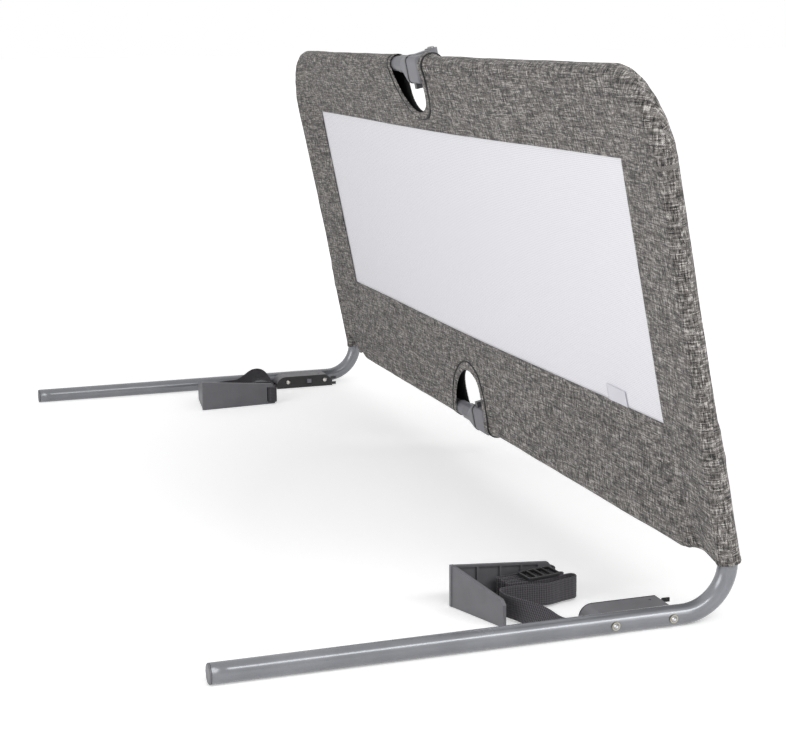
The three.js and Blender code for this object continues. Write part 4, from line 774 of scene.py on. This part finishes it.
def make_cover():
    """Front and back layers lofted from a flat pattern, wrapped round the tubes and the lower rail."""
    cover = Cover()
    over, hem = outer_stations(), hem_stations()
    angles = [math.pi / 2 - math.pi * k / WRAP_STEPS for k in range(WRAP_STEPS + 1)]
    reaches = [SLEEVE * (math.pi / 2 - abs(a)) for a in angles]
    for run in (*over, *hem):
        rows = []
        for (x, s), (nx, ns) in run:
            radius = half_thickness(x, s)
            row = []
            for a in angles:
                out = radius * math.cos(a)
                place = (x + nx * out, -radius * math.sin(a), s + ns * out)
                row.append(cover.vertex(*place, (nx * math.cos(a), -math.sin(a), ns * math.cos(a))))
            rows.append(row)
        for quad in quads(len(run) - 1, WRAP_STEPS):
            back = quad[0][1] >= WRAP_STEPS // 2
            uvs = [weave_place(*run[r][0], back, reaches[c], run[r][1]) for r, c in quad]
            cover.face([rows[r][c] for r, c in quad], uvs)
    add_web(cover, over, hem)
    piece = mesh_piece("linen_cover", cover.points, cover.faces, linen, cover.uvs)
    piece.data.materials.append(lining)
    return piece


def add_web(cover, over, hem):
    """The two flat layers inside the tubes, cut to the opening and the cut-outs."""
    over_right, over_left, hem_right, hem_left = ([place for place, _ in run] for run in (*over, *hem))
    mouth = [(x, hem_middle(x)) for x in spaced(-HALF_WIDTH, -HEM_END, STEP / 2)[1:-1]]
    boundary = over_right + cut_edge(CUT_TOP)[1:-1] + over_left + mouth + hem_left[::-1]
    boundary += cut_edge(CUT_LOW)[::-1][1:-1] + hem_right + [(-x, s) for x, s in reversed(mouth)]
    window = [(x, MESH_LOW) for x in spaced(-MESH_X, MESH_X, STEP)[:-1]]
    window += [(MESH_X, s) for s in spaced(MESH_LOW, MESH_HIGH, STEP)[:-1]]
    window += [(x, MESH_HIGH) for x in spaced(MESH_X, -MESH_X, STEP)[:-1]]
    window += [(-MESH_X, s) for s in spaced(MESH_HIGH, MESH_LOW, STEP)[:-1]]
    lines = [boundary, window]
    taken = np.array([p for line in lines for p in line])
    extra = []
    for offset in (-2.4, -1.2, 0.0, 1.2, 2.4):
        for cut in (CUT_TOP, CUT_LOW):
            extra += cut_edge(cut, RING + offset, 70)
        for side in (1, -1):
            extra += [(side * x, MESH_HIGH + offset) for x in spaced(MESH_X + 2, HALF_WIDTH - 2, 3)]
            extra += [(side * (strip_edge(s) + offset), s) for s in spaced(MESH_LOW - 2, RAIL_HEIGHT + 2, 3)]
    for inset in (1.5, 3.2, 5.5):
        extra += [(x - nx * inset, s - ns * inset) for run in (*over, *hem) for (x, s), (nx, ns) in run]
        extra += [(x, MESH_HIGH + inset) for x in spaced(-MESH_X, MESH_X, STEP)]
        extra += [(x, MESH_LOW - inset) for x in spaced(-MESH_X, MESH_X, STEP)]
        extra += [(side * (MESH_X + inset), s) for side in (1, -1) for s in spaced(MESH_LOW, MESH_HIGH, STEP)]
    lattice_step, fine_gap, coarse_gap = 4.6, 0.9, 2.6
    lattice = [(x, s) for x in np.arange(-590, 590, lattice_step) for s in np.arange(44, 500, lattice_step)]
    inside, hole = np.array(boundary), np.array(window)

    def contains(polygon, place):
        """Which places lie inside a polygon."""
        x, y = place[:, 0][:, None], place[:, 1][:, None]
        x0, y0 = polygon[:, 0][None], polygon[:, 1][None]
        x1, y1 = np.roll(x0, -1, 1), np.roll(y0, -1, 1)
        crosses = ((y0 > y) != (y1 > y)) & (x < (x1 - x0) * (y - y0) / (y1 - y0 + 1e-12) + x0)
        return crosses.sum(1) % 2 == 1

    def far_from(place, others, least):
        """The places that keep at least a distance from the others and from each other."""
        cells = {}
        for p in others:
            cells.setdefault((int(p[0] // least), int(p[1] // least)), []).append(p)
        kept = []
        for p in place:
            i, j = int(p[0] // least), int(p[1] // least)
            near = (q for a in (i - 1, i, i + 1) for b in (j - 1, j, j + 1) for q in cells.get((a, b), ()))
            if all((p[0] - q[0]) ** 2 + (p[1] - q[1]) ** 2 >= least * least for q in near):
                kept.append(p)
                cells.setdefault((i, j), []).append(p)
        return kept

    def inner(place):
        """The places on the cloth: inside its outline and outside the window."""
        place = np.array(place)
        return place[contains(inside, place) & ~contains(hole, place)]

    fine = far_from(inner(extra), taken, fine_gap)
    coarse = far_from(inner(lattice), np.concatenate([taken, np.array(fine)]), coarse_gap)
    coordinates = [tuple(p) for p in taken] + [tuple(p) for p in fine] + [tuple(p) for p in coarse]
    edges, start = [], 0
    for line in lines:
        edges += [(start + k, start + (k + 1) % len(line)) for k in range(len(line))]
        start += len(line)
    flat, _, triangles, _, _, _ = delaunay_2d_cdt([Vector(p) for p in coordinates], edges, [], 0, 1e-4)
    flat = np.array([tuple(p) for p in flat])
    triangles = np.array(triangles)
    centres = flat[triangles].mean(1)
    kept = triangles[contains(inside, centres) & ~contains(hole, centres)]
    for back, sign in ((False, -1), (True, 1)):
        numbers = {}
        for i in np.unique(kept):
            x, s = flat[i]
            numbers[i] = cover.vertex(x, sign * half_thickness(x, s), s, (0.0, sign, 0.0))
        for a, b, c in kept:
            corners = (a, b, c) if back == (np.cross(flat[b] - flat[a], flat[c] - flat[a]) < 0) else (a, c, b)
            across, along = cloth_shift(*flat[[a, b, c]].mean(0), back)
            uvs = [((flat[i][0] + across) * MM, (flat[i][1] + along) * MM) for i in corners]
            cover.face([numbers[i] for i in corners], uvs)


def finish_cloth(piece):
    """Makes every face look outward, then gives the cloth its thickness and its black lining."""
    editor = bmesh.new()
    editor.from_mesh(piece.data)
    bmesh.ops.recalc_face_normals(editor, faces=editor.faces)
    faces = [(f, f.calc_center_median()) for f in editor.faces if f.normal.y < -0.5]
    # High on the panel, the faces that look forward have to be those of the front layer
    high = [(f.calc_area(), middle.y) for f, middle in faces if abs(middle.x) < 0.4 and middle.z > 0.4]
    behind = panel(0, 0, 480).y
    if sum(area for area, y in high if y > behind) > 0.5 * sum(area for area, _ in high):
        bmesh.ops.reverse_faces(editor, faces=editor.faces)
    editor.to_mesh(piece.data)
    editor.free()
    piece.data.polygons.foreach_set("use_smooth", [True] * len(piece.data.polygons))
    modify(
        piece, "SOLIDIFY", "cloth_thickness",
        thickness=CLOTH * MM, offset=-1.0, material_offset=1, use_even_offset=False,
    )


def make_window():
    """The air mesh, stretched flat and caught under the cover's edges all round."""
    tuck = 5.0
    xs = np.linspace(-MESH_X - tuck, MESH_X + tuck, 203)
    ss = np.linspace(MESH_LOW - tuck, MESH_HIGH + tuck, 55)
    points, faces, uvs = [], [], []
    for s in ss:
        for x in xs:
            sag = WINDOW_SAG * math.cos(min(abs(x) / MESH_X, 1.0) * math.pi / 2) ** 2
            soft = 0.5 * noise.noise(Vector((x / 120, s / 60, 3.1)))
            points.append(panel(x, soft, s + sag))
    for quad in quads(len(ss) - 1, len(xs) - 1):
        faces.append(tuple(r * len(xs) + c for r, c in quad))
        uvs += [(xs[c] * MM, ss[r] * MM) for r, c in quad]
    piece = mesh_piece("air_mesh_window", points, faces, mesh_cloth, uvs)
    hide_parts("mesh_window_right", "mesh_window_left")
    return piece


def make_sleeve_end(side_name, side):
    """The turned-up end of the sleeve: a folded band round the leg, a little flared and uneven at its raw edge."""
    around = 40
    levels = (SLEEVE_END, SLEEVE_END + 0.6, SLEEVE_END + 3, SLEEVE_END + 6, BAND_TOP - 1, BAND_TOP + 3, BAND_TOP + 5)
    flare = (1.0, 0.9, 0.6, 0.35, 0.3, 0.25, -0.4)
    points, faces, uvs = [], [], []
    for level, wide in zip(levels, flare):
        for k in range(around):
            a = 2 * math.pi * k / around
            ragged = 0.9 * noise.noise(Vector((math.cos(a) * 1.4, math.sin(a) * 1.4, 5.0 + side)))
            radius = SLEEVE + wide + 0.35 * noise.noise(Vector((math.cos(a) * 2, level / 4, math.sin(a) * 2)))
            drop = ragged * (1 - smoothstep(SLEEVE_END, SLEEVE_END + 5, level))
            points.append(panel(side * HALF_WIDTH + radius * math.cos(a), radius * math.sin(a), level + drop))
    girth = 2 * math.pi * SLEEVE
    for quad in quads(len(levels) - 1, around):
        faces.append(tuple(r * around + c % around for r, c in quad))
        uvs += [((girth * c / around + BAND_SHIFT[0]) * MM, (levels[r] + BAND_SHIFT[1]) * MM) for r, c in quad]
    band = mesh_piece(f"sleeve_end_{side_name}", points, faces, linen, uvs)
    band.data.materials.append(lining)
    modify(band, "SOLIDIFY", "cloth_thickness", thickness=CLOTH * MM, offset=-1.0, material_offset=1)
    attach(band, f"{side_name}_half")
    return band


def make_shade_cord():
    """A black cord round both cut-outs, over the front, the turned edge and the back of the cover: painted shade for
    the shadowed gap beside the stitched groove.
    """
    points, faces = [], []
    for cut in (CUT_TOP, CUT_LOW):
        outward, line = -cut["inward"], cut_edge(cut, RING, 100)
        stations = [(x, s, -1.0, 0.0) for x, s in line[1:-1]]
        turned = [math.pi * k / 12 - math.pi / 2 for k in range(13)]
        stations += [(line[-1][0], line[-1][1], math.sin(a), math.cos(a)) for a in turned]
        stations += [(x, s, 1.0, 0.0) for x, s in line[-2:0:-1]]
        stations += [(line[0][0], line[0][1], -math.sin(a), math.cos(a)) for a in turned]
        places = []
        for x, s, back, rim in stations:
            # Where the cord turns over the sleeve or the hem, it goes round their middle line
            level = s
            if rim > 0 or s == line[0][1]:
                level = hem_middle(x) if cut is CUT_LOW else cut["level"]
            out = half_thickness(x, level) + groove(x, level) - 0.1
            away = np.array((0.0, back, outward * rim))
            places.append((np.array((x, 0.0, level)) + away * out, away))
        rings = []
        for n, (middle, away) in enumerate(places):
            ahead = places[(n + 1) % len(places)][0] - places[n - 1][0]
            across = np.cross(ahead, away)
            across = across / np.linalg.norm(across)
            # The cord widens to the right, where the gap's painted shade is darker
            girth = 0.6 + 1.3 * smoothstep(cut["middle"] - 20, cut["middle"] + 30, middle[0])
            turns = [2 * math.pi * k / 8 for k in range(8)]
            rise = away * (0.3 + 0.3 * girth)
            rings.append([panel(*(middle + across * girth * math.cos(a) + rise * math.sin(a))) for a in turns])
        more_points, more_faces = skin(rings, loop=True)
        base = len(points)
        points += more_points
        faces += [tuple(base + c for c in f) for f in more_faces]
    return mesh_piece("cutout_shade_cord", points, faces, shade_cord_material)


def make_label():
    """A bare white satin tape sewn in under the opening's lower edge, curling off the mesh."""
    left, right, low, high = 378.0, 422.0, 157.0, 178.0
    columns, rows = 24, 12
    wide, tall = (right - left) / columns, (high - low) / rows
    points, faces, uvs = [], [], []
    for j in range(rows + 1):
        for i in range(columns + 1):
            along, rise = i / columns, j / rows
            x, s = left + (right - left) * along, low + (high - low) * rise
            curl = 1.2 + 0.9 * rise ** 2 * (0.3 + 0.7 * along ** 2) + 0.1 * math.sin(9 * along)
            points.append(panel(x, -curl, s))
    for quad in quads(rows, columns):
        faces.append(tuple(r * (columns + 1) + c for r, c in quad))
        uvs += [(c * wide * MM, r * tall * MM) for r, c in quad]
    piece = mesh_piece("bare_care_tape", points, faces, label_tape, uvs)
    modify(piece, "SOLIDIFY", "tape_thickness", thickness=0.25 * MM, offset=0.0)
    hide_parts("care_label")
    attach(piece, "right_half")


# ---- straps ----
# Each anchor's corner: in from the upright's middle line, along the leg, and its turn in degrees
ANCHOR_PLACES = {"right": (119.0, -240.0, 7.0), "left": (140.0, -282.0, 5.0)}
# The folds beside the anchor's long flange, as in the solids, and how the outermost ones differ from the rest
BUNDLE = {
    "offset": 1.7, "tail": 20.0, "first": 8.6, "pitch": 4.4, "layers": 7, "low": 48.0, "high": 118.0, "bulge": 7.0,
}
OUTER_SLACK, FOLD_SHORT = 4.5, (13.0, 7.0, 0.0)
BAR, FLANGE_LONG, FLANGE_THICK = 100.8, 110.0, 4.0
STRAP_MIDDLE = 13.5
FOLD_SAMPLES, RUN_SAMPLES = 420, 120
SLIDER = {"across": 24.0, "along": 84.0, "half_width": 12.5, "half_length": 17.5, "tilt": 0.03}
# The free run's places and the way its width points, from the anchor to the housing
FREE_RUN = {
    "right": [
        ((83, -202, 13.5), (0, 0, 1)), ((69, -204, 13.2), (0, 0, 1)), ((54, -197, 12.8), (-0.05, 0, 1)),
        ((38, -183, 9.6), (-0.6, 0.1, 0.8)), ((26, -166, 5), (-0.95, 0.1, 0.3)),
    ],
    "left": [
        ((96, -253, 13.5), (0, 0, 1)), ((81, -256, 13.5), (0, 0, 1)), ((66, -243, 13.5), (0, 0, 1)),
        ((57, -226, 13), (-0.1, 0, 1)), ((54, -210, 13.5), (-0.1, 0, 1)), ((50, -198, 19), (-0.15, 0, 1)),
        ((44, -186, 25), (-0.2, 0, 1)), ((37, -175, 24), (-0.35, 0, 0.9)), ((30, -165, 17), (-0.75, 0, 0.6)),
        ((24, -156, 10), (-1, 0, 0.1)),
    ],
}
STRAP_END = [((21.6, -146, 3.4), (-1, 0, 0)), ((21.6, -127, 3.4), (-1, 0, 0)), ((21.6, -88, 3.4), (-1, 0, 0))]


def catmull(points, samples):
    """A centripetal curve through the points, the same as the one that the solids' straps follow."""
    points = [np.array(p, float) for p in points]
    found, last = [], len(points) - 1
    for n in range(samples + 1):
        place = last * n / samples
        i = min(int(place), last - 1)
        w = place - i
        p1, p2 = points[i], points[i + 1]
        p0 = points[i - 1] if i else 2 * p1 - p2
        p3 = points[i + 2] if i + 2 <= last else 2 * p2 - p1
        d0, d1, d2 = (max(np.linalg.norm(b - a), 1e-9) ** 0.5 for a, b in ((p0, p1), (p1, p2), (p2, p3)))
        t1 = ((p1 - p0) / d0 - (p2 - p0) / (d0 + d1) + (p2 - p1) / d1) * d1
        t2 = ((p2 - p1) / d1 - (p3 - p1) / (d1 + d2) + (p3 - p2) / d2) * d1
        found.append(p1 + t1 * w + (-3 * p1 + 3 * p2 - 2 * t1 - t2) * w * w + (2 * p1 - 2 * p2 + t1 + t2) * w ** 3)
    return found


def bundle_points():
    """The folded length beside the anchor's long flange, seen from above, in the anchor's own corner."""
    off, first, pitch = BUNDLE["offset"], BUNDLE["first"], BUNDLE["pitch"]
    points = [
        (FLANGE_THICK + off, BAR - BUNDLE["tail"]), (FLANGE_THICK + off, BAR - 2.2 * off),
        (FLANGE_THICK / 2 + off / 5, BAR), (-off / 4, BAR + off / 4), (-1.3 * off, BAR + 2 * off),
        (-1.3 * off, FLANGE_LONG - off / 2), (-off / 3, FLANGE_LONG + 1.2 * off),
        (FLANGE_THICK / 2, FLANGE_LONG + 1.5 * off), (first - 0.8 * off, FLANGE_LONG + off), (first, FLANGE_LONG - off),
    ]
    for layer in range(BUNDLE["layers"]):
        outermost = layer == BUNDLE["layers"] - 1
        x0, downward = first + layer * pitch + (OUTER_SLACK if outermost else 0.0), layer % 2 == 0
        high = BAR - 3 * off if layer == 0 else BUNDLE["high"] - pitch / 2 - FOLD_SHORT[(layer + 1) // 2 - 1]
        for k in range(5):
            along = 1 - k / 4 if downward else k / 4
            bulge = BUNDLE["bulge"] * (layer / (BUNDLE["layers"] - 1)) ** 2 * math.sin(math.pi * along) ** 2
            points.append((x0 + bulge, BUNDLE["low"] + (high - BUNDLE["low"]) * along))
        if layer + 1 < BUNDLE["layers"]:
            gap = pitch + (OUTER_SLACK if layer + 2 == BUNDLE["layers"] else 0.0)
            points.append((x0 + gap / 2, BUNDLE["low"] - gap / 2 if downward else high + pitch / 2))
    return points


def in_anchor(side_name, x, y, z):
    """A place in an anchor's own corner, as a place among the legs."""
    inset, along, turn_deg = ANCHOR_PLACES[side_name]
    side, turn = SIDES[side_name], math.radians(turn_deg)
    x = side * x
    turned = np.array([x * math.cos(turn) - y * math.sin(turn), x * math.sin(turn) + y * math.cos(turn), z])
    return np.array([side * (HALF_WIDTH - inset), along, 0.0]) + turned


def strap_line(side_name, side):
    """The strap's middle line and the way its width points, from its tail in the anchor to the housing."""
    folded = catmull([(x, y, STRAP_MIDDLE) for x, y in bundle_points()], FOLD_SAMPLES)
    middles = [in_anchor(side_name, *p) for p in folded]
    widths = [np.array([0.0, 0.0, 1.0])] * len(middles)
    run = [(middles[-1], (0, 0, 1))]
    run += [((side * (HALF_WIDTH - i), y, z), w) for (i, y, z), w in FREE_RUN[side_name] + STRAP_END]
    run = [(p, (side * w[0], w[1], w[2])) for p, w in run]
    free = catmull([p for p, _ in run], RUN_SAMPLES)
    turned = catmull([w for _, w in run], RUN_SAMPLES)
    return middles + free[1:], widths + turned[1:]


def make_strap(side_name, side):
    """One length of webbing: tail, turn round the anchor's end bar, the folded length, and the run to the housing."""
    middles, widths = strap_line(side_name, side)
    rings, lengths = [], [0.0]
    half_w, half_t = WEBBING_WIDTH / 2, WEBBING_THICK / 2
    section = [(-1, 0.35), (-0.94, 0.95), (-0.8, 0.9), (-0.4, 1), (0, 0.94)]
    section += [(-a, b) for a, b in reversed(section[:-1])]
    section += [(a, -b) for a, b in reversed(section)]
    for k, middle in enumerate(middles):
        if k:
            lengths.append(lengths[-1] + float(np.linalg.norm(middle - middles[k - 1])))
        along = middles[min(k + 1, len(middles) - 1)] - middles[max(k - 1, 0)]
        along = along / np.linalg.norm(along)
        across = np.array(widths[k], float)
        across = across - along * across.dot(along)
        across = across / np.linalg.norm(across)
        out = np.cross(along, across)
        rings.append([on_floor(*(middle + across * half_w * a + out * half_t * b)) for a, b in section])
    points, faces = skin(rings)
    count = len(section)
    walk = [0.0]
    for j in range(1, count + 1):
        (a0, b0), (a1, b1) = section[j - 1], section[j % count]
        walk.append(walk[-1] + math.hypot((a1 - a0) * half_w, (b1 - b0) * half_t))
    uvs = [(lengths[r] * MM, walk[c] * MM) for quad in quads(len(rings) - 1, count) for r, c in quad]
    uvs += [(0.0, w * MM) for w in walk[:count]] * 2
    strap = mesh_piece(f"webbing_strap_{side_name}", points, faces, webbing, uvs)
    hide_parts(f"strap_bundle_{side_name}", f"strap_run_{side_name}")
    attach(strap, f"leg_{side_name}")


def black_plate(name, outline, holes, thick, place, body, edge=0.5):
    """A flat moulded plate with slots through it. place turns a flat place and a height into the frame."""
    editor = bmesh.new()
    loops = []
    for loop in [outline] + holes:
        made = [editor.verts.new((x, y, 0.0)) for x, y in loop]
        loops.append([editor.edges.new((made[k], made[(k + 1) % len(made)])) for k in range(len(made))])
    bmesh.ops.triangle_fill(editor, use_beauty=True, edges=[e for loop in loops for e in loop])
    flat = list(editor.faces)
    lifted = bmesh.ops.extrude_face_region(editor, geom=flat)
    for vert in (g for g in lifted["geom"] if isinstance(g, bmesh.types.BMVert)):
        vert.co.z = thick
    bmesh.ops.recalc_face_normals(editor, faces=editor.faces)
    for vert in editor.verts:
        vert.co = place(*vert.co)
    if sum(f.calc_center_median().dot(f.normal) * f.calc_area() for f in editor.faces) < 0:
        bmesh.ops.reverse_faces(editor, faces=editor.faces)
    mesh = bpy.data.meshes.new(name)
    editor.to_mesh(mesh)
    editor.free()
    mesh.materials.append(black_plastic)
    plate = bpy.data.objects.new(name, mesh)
    bpy.context.scene.collection.objects.link(plate)
    modify(plate, "BEVEL", "soft_edges", width=edge * MM, segments=2, limit_method="ANGLE", angle_limit=SHARP)
    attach(plate, body)


def rounded(half_x, half_y, corner, mid=(0.0, 0.0)):
    """A rounded rectangle as a list of places."""
    found = []
    for sx, sy, start in ((1, 1, 0), (-1, 1, 90), (-1, -1, 180), (1, -1, 270)):
        for k in range(4):
            a = math.radians(start + 30 * k)
            x, y = sx * (half_x - corner) + corner * math.cos(a), sy * (half_y - corner) + corner * math.sin(a)
            found.append((mid[0] + x, mid[1] + y))
    return found


def make_slider():
    """The black length slider that lies on the near strap's folds, with four slots across it."""
    height = STRAP_MIDDLE + WEBBING_WIDTH / 2 + 0.4

    def place(x, y, z):
        rise = SLIDER["tilt"] * (y + SLIDER["half_length"])
        return on_floor(*in_anchor("right", x + SLIDER["across"], y + SLIDER["along"], height + z + rise))

    half_x, half_y = SLIDER["half_width"], SLIDER["half_length"]
    slots = [rounded(half_x - 2.4, 3.2, 1.2, (0.0, middle)) for middle in (-12.0, -3.6, 4.8, 12.6)]
    black_plate("strap_slider_right", rounded(half_x, half_y, 3.0), slots, 3.0, place, "leg_right")


def make_lock_rims():
    """The square rim round each strap lock's button, on the housing's inner plate."""
    for side_name, side in SIDES.items():
        low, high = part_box(f"lock_button_{side_name}")
        plate_low, plate_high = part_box(f"housing_plate_{side_name}")
        face = plate_low[0] if side > 0 else plate_high[0]
        middle = [(low[i] + high[i]) / 2 for i in (1, 2)]

        def place(x, y, z):
            return Vector((face - side * z * MM, middle[0] + x * MM, middle[1] + y * MM))

        outline, hollow = rounded(5.4, 5.2, 0.8), rounded(3.7, 3.7, 0.4)
        black_plate(f"lock_rim_{side_name}", outline, [hollow], 0.8, place, f"leg_{side_name}")


def make_hinge_split_shade_plates():
    """A black plate in each hinge's split, a hair proud of the mouldings: painted shade for the dark gap there."""
    # The hinge's block is centred this far below its tube, and the split starts just past the fold
    drop, start, thick = -4.5, 0.6, 2.8
    half_deep, half_high, proud, wall = 13.0, 16.5, 0.6, 1.5
    outline = rounded(half_deep + proud, half_high + proud, 6.4, (0.0, drop))
    hollow = rounded(half_deep - wall, half_high - wall, 5.0, (0.0, drop))
    for name, level, up in (("top", TOP_HEIGHT, 1), ("bottom", RAIL_HEIGHT, -1)):

        def place(x, y, z):
            return panel(FOLD_X + start + z, x, level + up * y)

        # A black plate of painted shade in the split
        black_plate(f"hinge_split_shade_{name}", outline, [hollow], thick, place, "right_half", edge=0.15)


# ---- the carried-over solids ----
HINGE_BODIES = tuple(f"{level}_hinge_{kind}_body" for level in ("top", "bottom") for kind in ("catch", "tongue"))
RELEASE_BUTTONS = ("top_release_button", "bottom_release_button")
SLOT_STARTS = {
    "tube": ("upper_tube", "lower_rail", "leg_tube"),
    "webbing": ("strap_bundle", "strap_run"),
    "cover": ("cover",),
    "mesh": ("mesh_window", "care_label"),
    "zinc": ("snap_cap", "leg_bolt", "leg_nut"),
    "plastic": ("leg_plug", "strap_housing", "anchor_plate", *HINGE_BODIES),
    "dark_plastic": ("rail_plug", "housing_plate", "lock_button", *RELEASE_BUTTONS),
}


def dress_solids():
    """Every solid that keeps its own shape gets its real finish, and moulded parts get softened edges."""
    for name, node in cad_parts.items():
        slot = next((s for s, starts in SLOT_STARTS.items() if name.startswith(starts)), "steel")
        material = SLOT_MATERIALS[slot]
        if name.startswith((*HINGE_BODIES, "lock_button")):
            material = hinge_plastic
        elif name.startswith(RELEASE_BUTTONS):
            material = button_plastic
        elif name.startswith("leg_bolt"):
            material = bolt_plate
        if not node.material_slots:
            node.data.materials.append(material)
        for place in node.material_slots:
            place.material = material
        if slot in ("plastic", "dark_plastic") and "button" not in name:
            round_off = (1.1 if name.startswith("anchor_plate") else 1.4 if name.startswith(HINGE_BODIES) else 0.6) * MM
            modify(node, "BEVEL", "soft_edges", width=round_off, segments=3, limit_method="ANGLE", angle_limit=SHARP)


def squeeze_springs():
    """Finds each spring's seat and length along the way that the button it pushes back moves, and gives the spring a
    mesh of its own; the spring is not shortened by that button's travel.
    """
    up = (panel(0, 0, 1) - panel(0, 0, 0)).normalized()
    runs = [
        ("top_release_spring", "top_release_press", up, BUTTON_TRAVEL),
        ("bottom_release_spring", "bottom_release_press", -up, BUTTON_TRAVEL),
    ]
    for side_name, side in SIDES.items():
        runs.append((f"snap_spring_{side_name}", f"snap_press_{side_name}", Vector((-side, 0, 0)), BUTTON_TRAVEL))
        runs.append((f"lock_spring_{side_name}", f"lock_press_{side_name}", Vector((side, 0, 0)), LOCK_TRAVEL))
    for name, joint, way, travel in runs:
        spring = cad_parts[name]
        reach = [way.dot(spring.matrix_world @ v.co) for v in spring.data.vertices]
        seat, length = way * max(reach), max(reach) - min(reach)
        tuple(way)
        tuple(seat)
        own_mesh(spring)


# ---- studio ----
def area_light(name, place, target, across, along, long_axis, power):
    """A softbox that faces its target, with its long side held along a given direction."""
    data = bpy.data.lights.new(name, "AREA")
    data.shape, data.size, data.size_y, data.energy = "RECTANGLE", across, along, power
    lamp = bpy.data.objects.new(name, data)
    behind = (Vector(place) - Vector(target)).normalized()
    side = Vector(long_axis).cross(behind).normalized()
    turn = Matrix((side, behind.cross(side), behind)).transposed().to_4x4()
    lamp.matrix_world = Matrix.Translation(place) @ turn
    bpy.context.scene.collection.objects.link(lamp)


def make_studio():
    """White air, a pale floor just below the object and three softboxes."""
    far, drop = 30, -0.0004
    corners = [(-far, -far, drop), (far, -far, drop), (far, far, drop), (-far, far, drop)]
    floor = mesh_piece("studio_floor", corners, [(0, 1, 2, 3)], studio_white(), smooth=False)
    world = bpy.data.worlds.new("studio_air")
    bpy.context.scene.world = world
    world.use_nodes = True
    tree = world.node_tree
    air_light = 0.4
    rays = add(tree, "LightPath").outputs
    either = add(tree, "Math", {0: rays["Is Camera Ray"], 1: rays["Is Glossy Ray"]}, operation="MAXIMUM")
    seen = add(tree, "Math", {0: either.outputs[0], 1: rays["Is Transmission Ray"]}, operation="MAXIMUM")
    strength = add(tree, "Mix", {0: seen.outputs[0], 2: air_light, 3: 1.0}, data_type="FLOAT")
    tree.links.new(strength.outputs[0], tree.nodes["Background"].inputs["Strength"])
    tree.nodes["Background"].inputs["Color"].default_value = (1, 1, 1, 1)
    for name, place, target, across, along, long_axis, power in (
        ("front_softbox", (1.0, -2.6, 1.1), (0.1, 0.1, 0.2), 1.8, 1.4, (0, 0, 1), 27),
        ("side_softbox", (2.6, 1.9, 1.3), (0.3, 0.1, 0.25), 1.2, 1.4, (0, 0, 1), 15),
        ("overhead_strip", (1.85, 0.6, 1.5), (0.6, 0.05, 0.0), 0.42, 2.4, (0, 1, 0), 20),
    ):
        area_light(name, place, target, across, along, long_axis, power)
    bpy.context.scene.view_settings.view_transform = "Standard"


set_camera()
for side_name, side in SIDES.items():
    make_strap(side_name, side)
for side_name, side in SIDES.items():
    make_leg(side_name, side)
make_slider()
make_lock_rims()
make_hinge_split_shade_plates()
dress_solids()
cover = make_cover()
finish_cloth(cover)
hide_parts("cover_right", "cover_left")
window = make_window()
shade_cord = make_shade_cord()
bands = [make_sleeve_end(side_name, side) for side_name, side in SIDES.items()]
for cloth in (cover, window, shade_cord):
    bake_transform(cloth)
make_label()
squeeze_springs()
make_studio()
